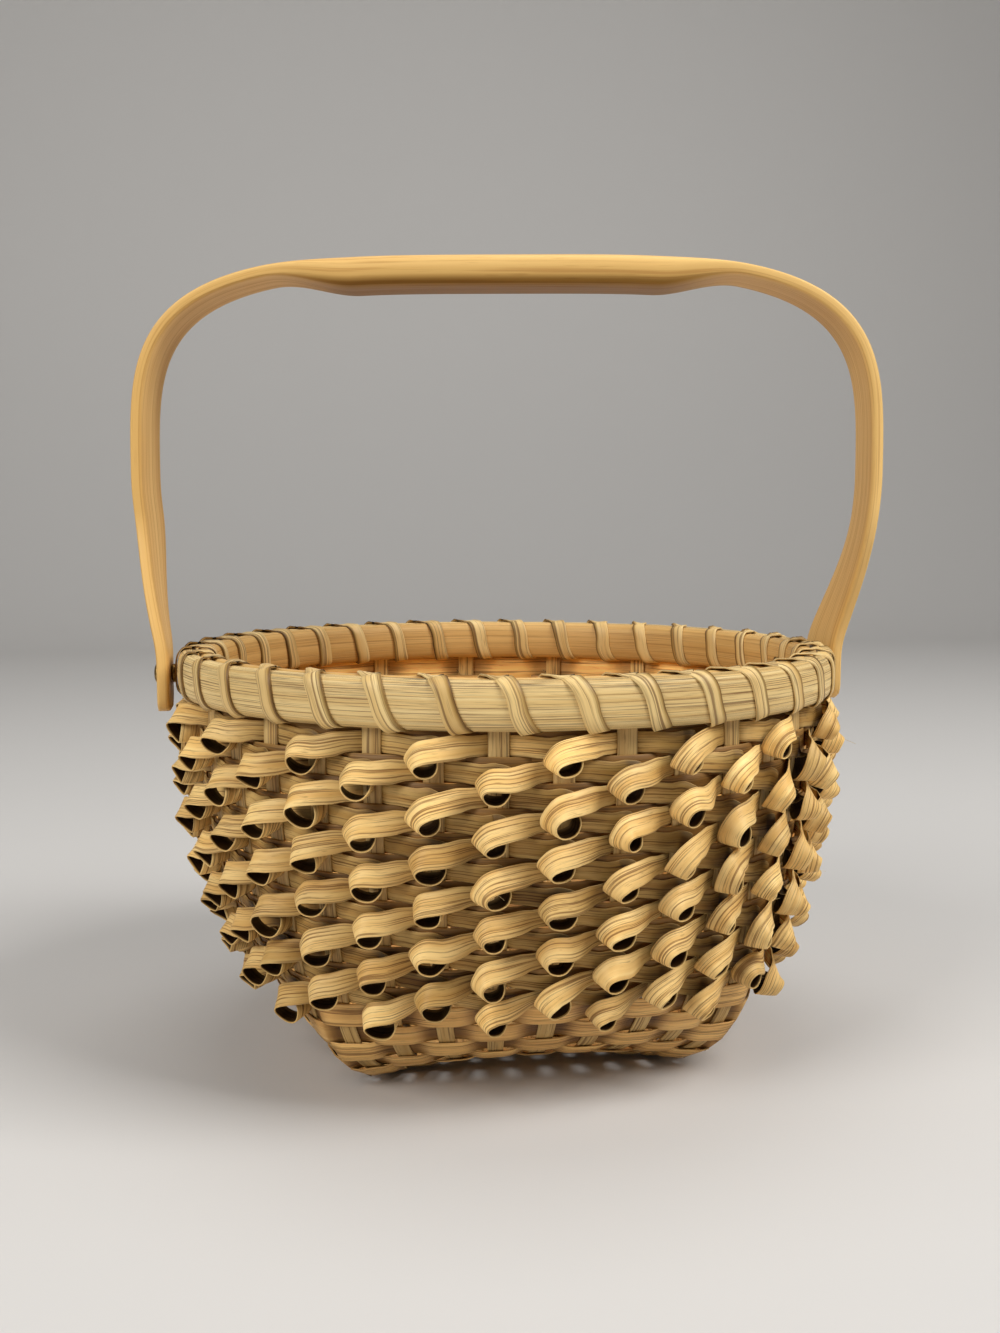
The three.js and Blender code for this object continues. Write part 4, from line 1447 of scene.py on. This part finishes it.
@dataclass
class RimLashing:
    """The lashing splint: one turn over both hoops, repeated round the rim by geometry nodes."""

    hoops: RimHoops
    wraps: int = 36
    half_width: float = 3.0
    half_thickness: float = 0.3
    lift: float = 0.42
    start: float = math.radians(0.6)
    outer_lead: float = 0.45
    under_lead: float = 0.05
    inner_lead: float = 0.3
    crown: float = 0.03
    heart_inset: float = 5.0
    crossing_points: int = 4
    # Painted shadow along the right edge of each turn, where it stands off the wood.
    edge_painted_shadow: float = 0.8
    edge_start: float = 0.4
    edge_range: float = 0.54
    tone_range: tuple[float, float] = (0.42, 0.6)
    waver: float = 0.35
    waver_gain: float = 9.0
    waver_scale: float = 55.0
    seed: int = 71

    def turn(self) -> Surface:
        """One turn of the lashing.

        Returns:
            The turn as an open strip without end caps.
        """
        outer = self.hoops.outline(self.hoops.outer_face, 1.0, self.lift)[::-1]
        inner = self.hoops.outline(self.hoops.inner_face, -1.0, self.lift)
        leads = (0.0, self.outer_lead, self.outer_lead + self.under_lead)
        outer_lead = np.linspace(leads[0], leads[1], len(outer))
        inner_lead = np.linspace(leads[2], leads[2] + self.inner_lead, len(inner))
        over = np.linspace(0, 1, self.crossing_points + 2)[1:-1, None]
        under_line = mixed(outer[-1], inner[0], over)
        top_line = mixed(inner[-1], outer[0], over)
        line = np.concatenate([outer, under_line, inner, top_line])
        lead = np.concatenate([
            outer_lead, mixed(leads[1], leads[2], over[:, 0]), inner_lead, mixed(inner_lead[-1], 1.0, over[:, 0]),
        ])
        count = len(line)
        pitch = 2 * math.pi / self.wraps
        rows = np.concatenate([line] * 3)
        turns = np.concatenate([lead - 1, lead, lead + 1])
        angle = self.start + turns * pitch
        centres = np.stack([rows[:, 0] * np.cos(angle), rows[:, 0] * np.sin(angle), rows[:, 1]], 1)
        middle = (self.hoops.outer_face + self.hoops.inner_face) / 2
        heart = np.stack([
            middle * np.cos(angle), middle * np.sin(angle),
            np.clip(rows[:, 1], self.hoops.bottom + self.heart_inset, self.hoops.top - self.heart_inset),
        ], 1)
        through = unit(centres - heart)
        heading = unit(np.gradient(centres, axis=0))
        across = unit(np.cross(through, heading))
        kept = slice(count, 2 * count + 1)
        across, _ = Strip(centres, across, self.half_width, self.half_thickness, False).frames()
        part = Strip(centres[kept], across[kept], self.half_width, self.half_thickness, False, self.crown, 0.0)
        made = part.build(caps=False)
        places, sides, _ = part.section()
        # Painted shadow: the right edge of each turn is darkened and loses its pale cut edge.
        right = np.clip((places - self.edge_start) / self.edge_range, 0.0, 1.0) * (sides >= 0)
        right = np.tile(right, len(part.centres))
        made.tone = made.tone - self.edge_painted_shadow * right
        made.edge = made.edge * (1 - right)
        return made

    def build(self, material: bpy.types.Material) -> None:
        """Makes and dresses the lashing.

        Args:
            material: The lashing's finish.
        """
        made = GeometryTree(
            "Lashing turns",
            {"Turns": (INTEGER, self.wraps), "Seed": (INTEGER, self.seed), "Waver": (FLOAT, self.waver * MM),
             "Material": (MATERIAL, material)},
        )
        desk, given = made.desk, made.given
        points = desk.add("GeometryNodePoints", {"Count": given["Turns"]})
        index = desk.add("GeometryNodeInputIndex").outputs[0]
        angle = desk.times(index, desk.math("DIVIDE", 2 * math.pi, given["Turns"]))
        copies = desk.add(
            "GeometryNodeInstanceOnPoints",
            {0: points.outputs[0], "Instance": given["Geometry"], "Rotation": desk.vector(0.0, 0.0, angle)},
        )
        low, high = self.tone_range
        chance = desk.add("FunctionNodeRandomValue", {2: low, 3: high, "Seed": given["Seed"]}, data_type="FLOAT")
        toned = desk.store(copies.outputs[0], "shift", chance.outputs[1], "INSTANCE")
        real = desk.add("GeometryNodeRealizeInstances", {0: desk.store(toned, "lot", index, "INSTANCE")})
        own, shift = (
            desk.add("GeometryNodeInputNamedAttribute", {"Name": label}, data_type="FLOAT").outputs[0]
            for label in ("tone", "shift")
        )
        shaded = desk.store(real.outputs[0], "tone", desk.math("ADD", own, shift))
        closed = desk.add("GeometryNodeMergeByDistance", {0: shaded, "Distance": 2e-5})
        here = desk.add("GeometryNodeInputPosition").outputs[0]
        bend = desk.noise(here, self.waver_scale, 1.0)
        push = desk.times(desk.math("SUBTRACT", bend, 0.5), given["Waver"])
        round_ = desk.add("ShaderNodeVectorMath", {0: here, 1: (0.0, 0.0, 1.0)}, operation="CROSS_PRODUCT")
        aside = desk.add("ShaderNodeVectorMath", {0: round_.outputs[0]}, operation="NORMALIZE")
        sway = desk.add(
            "ShaderNodeVectorMath", {0: aside.outputs[0], "Scale": desk.times(push, self.waver_gain)}, operation="SCALE"
        )
        moved = desk.add("GeometryNodeSetPosition", {0: closed.outputs[0], "Offset": sway.outputs[0]})
        made.close(moved.outputs[0])
        mesh = self.turn().mesh("lashing_turn")
        mesh.attributes.remove(mesh.attributes["lot"])
        wound = outward(made.run(mesh, "rim_lashing"))
        place_piece(wound, "rim_lashing_ash", material, Body.BASKET, ["rim_lashing"])


@dataclass
class SwingHandle:
    """The bent bow: two thin legs and a thick carved grip."""

    pin_height: float = 139.9315
    pin_reach: float = 130.95
    spread: float = 140.2
    top: float = 294.69
    shoulder: float = 210.4
    squareness: float = 3.8
    leg_lean: float = 1.36
    straight: float = 9.0
    end_below_pin: float = 13.0
    end_round: float = 6.0
    half_width: float = 15.0
    twist: float = math.radians(-10.0)
    twist_rise: float = 60.0
    thickness: float = 4.6
    grip_thickness: float = 12.0
    grip_half: float = 56.0
    grip_taper: float = 34.0
    leg_power: float = 0.28
    grip_power: float = 0.5
    end_least: float = 0.6
    tone: float = 0.52
    # Painted shade on the bow's underside, deeper under the grip.
    under_painted_shade: float = 0.1
    grip_painted_shade: float = 0.56
    painted_shade_reach: float = 0.7
    foot_gap: float = 1.0
    leg_points: int = 40
    arc_points: int = 160
    arc_crowding: float = 1.6
    blur: int = 5
    corners: int = 40
    stations: int = 300

    def twisted(self, grid: Array, height: Array) -> Array:
        """Twists the legs about Z above the hinge, so that the bow is out of line with it.

        Args:
            grid: One row of points for every station.
            height: Height of every station.

        Returns:
            The twisted points.
        """
        turn = self.twist * smooth(self.pin_height, self.pin_height + self.twist_rise, height)[:, None]
        x, y, z = np.moveaxis(grid, -1, 0)
        return np.stack([x * np.cos(turn) - y * np.sin(turn), x * np.sin(turn) + y * np.cos(turn), z], -1)

    def path(self) -> Array:
        """The bow's outer face from the right end over the top to the left end.

        Returns:
            Rows of x and z, evenly spaced.
        """
        foot = self.pin_height + self.straight
        leg = np.linspace(foot, self.shoulder, self.leg_points)[:-1]
        share = (self.shoulder - leg) / (self.shoulder - foot)
        leg_x = self.spread - (self.spread - self.pin_reach) * share**self.leg_lean
        turn = (math.pi / 2) * np.linspace(0, 1, self.arc_points) ** self.arc_crowding
        power = 2 / self.squareness
        arc_x = self.spread * np.cos(turn).clip(0) ** power
        arc_z = self.shoulder + (self.top - self.shoulder) * np.sin(turn) ** power
        x = np.concatenate([[self.pin_reach, self.pin_reach], leg_x, arc_x])
        z = np.concatenate([[self.pin_height - self.end_below_pin, foot - self.foot_gap], leg, arc_z])
        x = np.concatenate([x, -x[-2::-1]])
        z = np.concatenate([z, z[-2::-1]])
        along = np.concatenate([[0.0], np.cumsum(np.hypot(np.diff(x), np.diff(z)))])
        even = np.linspace(0, along[-1], self.stations)
        return np.stack([np.interp(even, along, x), np.interp(even, along, z)], 1)

    def build(self, material: bpy.types.Material) -> None:
        """Makes and dresses the bow.

        Args:
            material: The handle's finish.
        """
        path = self.path()
        blur = np.ones(self.blur) / self.blur
        pad = self.blur // 2
        soft = np.stack([np.convolve(np.pad(path[:, k], pad, mode="edge"), blur, "valid") for k in range(2)], 1)
        ends = self.blur + 1
        soft[:ends], soft[-ends:] = path[:ends], path[-ends:]
        heading = unit(np.gradient(soft, axis=0))
        inward = np.stack([-heading[:, 1], heading[:, 0]], 1)
        reach = np.abs(soft[:, 0])
        taper = smooth(self.grip_half, self.grip_half + self.grip_taper, reach)
        grip = np.where(soft[:, 1] > self.shoulder, 1 - taper, 0)
        thick = mixed(self.thickness, self.grip_thickness, grip)
        step = np.linalg.norm(np.diff(soft, axis=0), axis=1)
        along = np.concatenate([[0.0], np.cumsum(step), [0.0]])
        near = np.minimum(along[:-1], along[-2] - along[:-1])
        cut = np.clip(self.end_round - near, 0, None)
        half = self.half_width - self.end_round + np.sqrt(np.clip(self.end_round**2 - cut**2, 0, None))
        half = np.maximum(half, self.half_width - self.end_round + self.end_least)
        turn = np.radians(np.arange(0, 360, 360 / self.corners) + 180 / self.corners)
        power = mixed(self.leg_power, self.grip_power, grip)[:, None]
        a = np.sign(np.cos(turn)) * np.abs(np.cos(turn)) ** power
        b = np.sign(np.sin(turn)) * np.abs(np.sin(turn)) ** power
        depth = (b + 1) / 2 * thick[:, None]
        x = soft[:, :1] + inward[:, :1] * depth
        z = soft[:, 1:] + inward[:, 1:] * depth
        grid = self.twisted(np.stack([x, a * half[:, None], z], -1), soft[:, 1])
        wide, deep = a[0] * self.half_width, b[0] * self.thickness / 2
        sides = np.hypot(np.diff(wide, append=wide[0]), np.diff(deep, append=deep[0]))
        ring = np.concatenate([[0.0], np.cumsum(sides)])
        # Painted shade: the underside is darkened, more under the grip.
        tone = self.tone - (self.under_painted_shade + self.grip_painted_shade * grip[:, None]) * smooth(0.0, self.painted_shade_reach, b)
        made = Surface.swept(grid, along, ring, False, tone, np.zeros(grid.shape[:2]))
        mesh = outward(made.mesh("handle"))
        place_piece(mesh, "handle_ash", material, Body.HANDLE, ["handle"])


@dataclass
class HingeRivets:
    """The rivets and washers that the handle turns on."""

    handle: SwingHandle
    shank: float = 1.4
    head: float = 3.6
    head_height: float = 1.6
    tail: float = 2.6
    tail_height: float = 1.0
    tail_face: float = 109.55
    head_face: float = 131.05
    washer: float = 3.5
    washer_bore: float = 1.7
    washer_near: float = 124.6
    washer_far: float = 126.1
    washer_bevel: float = 0.25
    head_edge: float = 0.35
    tail_bevel: float = 0.3
    tip: float = 0.2
    dome_share: float = 0.97
    dome_steps: int = 9
    tone: float = 0.5
    steps: int = 40

    def turned(self, outline: Sequence[tuple[float, float]], side: Side, name: str) -> bpy.types.Mesh:
        """A round piece on the hinge line.

        Args:
            outline: Radius and distance along X, with the first point repeated where the piece is a ring.
            side: The end of the hinge.
            name: The mesh's name.

        Returns:
            The closed mesh.
        """
        points = np.array(outline)
        turn = np.linspace(0, 2 * math.pi, self.steps, endpoint=False)
        grid = np.stack([
            np.broadcast_to(points[:, 1, None] * side.value, (len(points), self.steps)),
            points[:, :1] * np.cos(turn), points[:, :1] * np.sin(turn) + self.handle.pin_height,
        ], -1)
        along = np.concatenate([np.arange(len(points), dtype=float), [0.0]])
        ring = np.arange(self.steps + 1, dtype=float)
        is_ring = bool(np.allclose(points[0], points[-1]))
        grid = grid[:-1] if is_ring else grid
        tone = np.full(grid.shape[:2], self.tone)
        return outward(Surface.swept(grid, along, ring, is_ring, tone, np.zeros(grid.shape[:2])).mesh(name))

    def build(self, material: bpy.types.Material) -> None:
        """Makes and dresses the rivets and washers.

        Args:
            material: The brass finish.
        """
        rise = self.head_height - self.head_edge
        dome = [
            (self.head * math.cos(t), self.head_face + self.head_edge + rise * math.sin(t))
            for t in np.linspace(0, math.pi / 2 * self.dome_share, self.dome_steps)
        ]
        tail_end = self.tail_face - self.tail_height
        rivet = [
            (self.tip, tail_end), (self.tail - self.tail_bevel, tail_end), (self.tail, tail_end + self.tail_bevel),
            (self.tail, self.tail_face), (self.shank, self.tail_face), (self.shank, self.head_face),
            (self.head, self.head_face), *dome,
        ]
        bevel, near, far = self.washer_bevel, self.washer_near, self.washer_far
        washer = [
            (self.washer_bore, near), (self.washer - bevel, near), (self.washer, near + bevel),
            (self.washer, far - bevel), (self.washer - bevel, far), (self.washer_bore, far), (self.washer_bore, near),
        ]
        for side in Side:
            hand = side.name.lower()
            for kind, outline in (("rivet", rivet), ("washer", washer)):
                name = f"handle_{kind}_{hand}"
                mesh = self.turned(outline, side, name)
                place_piece(mesh, f"{name}_brass", material, Body.BASKET, [name])


@dataclass
class LooseFibres:
    """A few frayed fibres that stand off the curls, set on chosen points by geometry nodes."""

    count: int = 46
    longest: float = 9.0
    shortest_share: float = 0.25
    radius: float = 0.07
    middle: tuple[float, float, float] = (0.1, 0.0, 0.5)
    end: tuple[float, float, float] = (0.45, 0.0, 0.95)
    bend_steps: int = 7
    sides: int = 5
    root_reach: float = 3.1
    lean_range: tuple[float, float] = (0.1, 0.7)
    tone: float = 0.55
    seed: int = 97

    def roots(self, stations: Sequence[Array]) -> bpy.types.Mesh:
        """Chooses the points where fibres start.

        Args:
            stations: Centres and width directions of the curl strips, by row.

        Returns:
            A mesh of loose points with a lean direction each.
        """
        chance = np.random.default_rng(self.seed)
        points, leans = [], []
        for _ in range(self.count):
            rows = stations[int(chance.integers(0, len(stations)))]
            k = int(chance.integers(1, len(rows) - 1))
            heading = unit(rows[k + 1, :3] - rows[k - 1, :3])
            across = unit(rows[k, 3:6])
            points.append(rows[k, :3] + across * self.root_reach)
            leans.append(unit(heading * chance.choice([-1.0, 1.0]) + across * chance.uniform(*self.lean_range)))
        mesh = bpy.data.meshes.new("fibre_roots")
        mesh.from_pydata((np.array(points) * MM).tolist(), [], [])
        item = mesh.attributes.new("lean", "FLOAT_VECTOR", "POINT")
        item.data.foreach_set("vector", np.array(leans, np.float32).ravel())
        return mesh

    def build(self, stations: Sequence[Array], material: bpy.types.Material) -> None:
        """Makes and dresses the fibres.

        Args:
            stations: Centres and width directions of the curl strips, by row.
            material: The fibres' finish.
        """
        made = GeometryTree(
            "Fibres on points",
            {"Length": (FLOAT, self.longest * MM), "Radius": (FLOAT, self.radius * MM), "Seed": (INTEGER, self.seed),
             "Material": (MATERIAL, material)},
        )
        desk, given = made.desk, made.given
        bend = desk.add(
            "GeometryNodeCurveQuadraticBezier",
            {"Resolution": self.bend_steps, "Start": (0.0, 0.0, 0.0), "Middle": self.middle, "End": self.end},
        )
        sized = desk.add(
            "GeometryNodeTransform",
            {0: bend.outputs[0], "Scale": desk.vector(given["Length"], given["Length"], given["Length"])},
        )
        circle = desk.add("GeometryNodeCurvePrimitiveCircle", {"Resolution": self.sides, "Radius": given["Radius"]})
        tube = desk.add("GeometryNodeCurveToMesh", {0: sized.outputs[0], 1: circle.outputs[0], "Fill Caps": True})
        lean = desk.add("GeometryNodeInputNamedAttribute", {"Name": "lean"}, data_type="FLOAT_VECTOR")
        aim = desk.add("FunctionNodeAlignRotationToVector", {"Vector": lean.outputs[0]}, axis="Z")
        size = desk.add(
            "FunctionNodeRandomValue", {2: self.shortest_share, 3: 1.0, "Seed": given["Seed"]}, data_type="FLOAT"
        )
        sprigs = desk.add(
            "GeometryNodeInstanceOnPoints",
            {0: given["Geometry"], "Instance": tube.outputs[0], "Rotation": aim.outputs[0],
             "Scale": desk.vector(size.outputs[1], size.outputs[1], size.outputs[1])},
        )
        made.close(sprigs.outputs[0])
        mesh = made.run(self.roots(stations), "loose_fibres")
        item = mesh.attributes.new("tone", "FLOAT", "POINT")
        item.data.foreach_set("value", np.full(len(mesh.vertices), self.tone, np.float32))
        place_piece(mesh, "loose_fibres_ash", material, Body.BASKET, [])


# Floor, light and camera


@dataclass(frozen=True)
class Lamp:
    """A square soft lamp aimed at the basket, in metres and watts."""

    name: str
    place: tuple[float, float, float]
    power: float
    size: float = 1.0

    def hang(self, target: Vector) -> None:
        """Adds the lamp to the scene.

        Args:
            target: The point that it is aimed at.
        """
        data = bpy.data.lights.new(self.name, "AREA")
        data.energy, data.size = self.power, self.size
        lamp = bpy.data.objects.new(self.name, data)
        lamp.location = self.place
        lamp.rotation_euler = (target - Vector(self.place)).to_track_quat("-Z", "Y").to_euler()
        bpy.context.scene.collection.objects.link(lamp)


@dataclass
class Studio:
    """A pale floor that turns up behind the basket, soft lamps and the camera, in metres."""

    camera_place: tuple[float, float, float] = (-0.088, -0.555, 0.1994)
    pitch: float = math.radians(6.0)
    yaw: float = math.radians(8.8)
    sensor: float = 36.0
    focal_share: float = 1460 / 1333
    floor_colour: Colour = srgb(204, 201, 197)
    floor_roughness: float = 0.6
    floor_front: float = -3.0
    floor_back: float = 1.6
    floor_half_width: float = 4.0
    bend_radius: float = 0.7
    bend_steps: int = 14
    backdrop_top: float = 3.0
    room_light: float = 0.11
    aim: tuple[float, float, float] = (0.0, 0.0, 0.1)
    lamps: tuple[Lamp, ...] = (
        Lamp("key", (1.25, -0.8, 1.55), 37.0),
        Lamp("second", (-1.4, -1.0, 1.25), 25.5),
        Lamp("top", (0.05, 0.35, 1.9), 9.0),
    )

    def floor(self) -> None:
        """Makes the floor and backdrop as one curved sheet."""
        back, radius, half = self.floor_back, self.bend_radius, self.floor_half_width
        line = [(self.floor_front, 0.0), (back, 0.0)]
        for turn in np.linspace(0, math.pi / 2, self.bend_steps)[1:]:
            line.append((back + math.sin(turn) * radius, radius - math.cos(turn) * radius))
        line.append((back + radius, self.backdrop_top))
        points = [(x, y, z) for y, z in line for x in (-half, half)]
        faces = [(2 * i, 2 * i + 1, 2 * i + 3, 2 * i + 2) for i in range(len(line) - 1)]
        mesh = bpy.data.meshes.new("studio_floor")
        mesh.from_pydata(points, [], faces)
        mesh.polygons.foreach_set("use_smooth", [True] * len(mesh.polygons))
        made = bpy.data.materials.new("Pale floor")
        made.use_nodes = True
        shader = made.node_tree.nodes["Principled BSDF"]
        shader.inputs["Base Color"].default_value = self.floor_colour
        shader.inputs["Roughness"].default_value = self.floor_roughness
        mesh.materials.append(made)
        sheet = bpy.data.objects.new("studio_floor", mesh)
        bpy.context.scene.collection.objects.link(sheet)

    def camera(self) -> None:
        """Adds the camera at the photograph's angle."""
        data = bpy.data.cameras.new("camera")
        data.sensor_width = self.sensor
        data.lens = self.sensor * self.focal_share
        data.dof.use_dof = False
        camera = bpy.data.objects.new("camera", data)
        camera.location = self.camera_place
        camera.rotation_euler = (math.pi / 2 - self.pitch, 0.0, -self.yaw)
        bpy.context.scene.collection.objects.link(camera)
        bpy.context.scene.camera = camera

    def build(self) -> None:
        """Sets up the whole studio."""
        self.floor()
        for lamp in self.lamps:
            lamp.hang(Vector(self.aim))
        self.camera()
        world = bpy.data.worlds.new("room")
        world.use_nodes = True
        sky = world.node_tree.nodes["Background"]
        sky.inputs["Color"].default_value = (1.0, 1.0, 1.0, 1.0)
        sky.inputs["Strength"].default_value = self.room_light
        bpy.context.scene.world = world
        bpy.context.scene.view_settings.view_transform = "Standard"


def main() -> None:
    logging.basicConfig(level=logging.INFO, format="%(name)s: %(message)s")
    finishes = Finishes()
    form = WallForm()
    Splints(form).build(finishes.ash(STAKE_FINISH))
    weavers = Weavers(form)
    weavers.build(finishes.ash(WEAVER_FINISH))
    stations = Curls(form, weavers).build(finishes.ash(CURL_FINISH))
    hoops = RimHoops()
    hoops.build(finishes.ash(RIM_FINISH), finishes.ash(INNER_RIM_FINISH))
    RimLashing(hoops).build(finishes.ash(LASHING_FINISH))
    handle = SwingHandle()
    handle.build(finishes.ash(HANDLE_FINISH))
    HingeRivets(handle).build(BrassFinish().material())
    LooseFibres().build(stations, finishes.ash(FIBRE_FINISH))
    Studio().build()


if __name__ == "__main__":
    main()
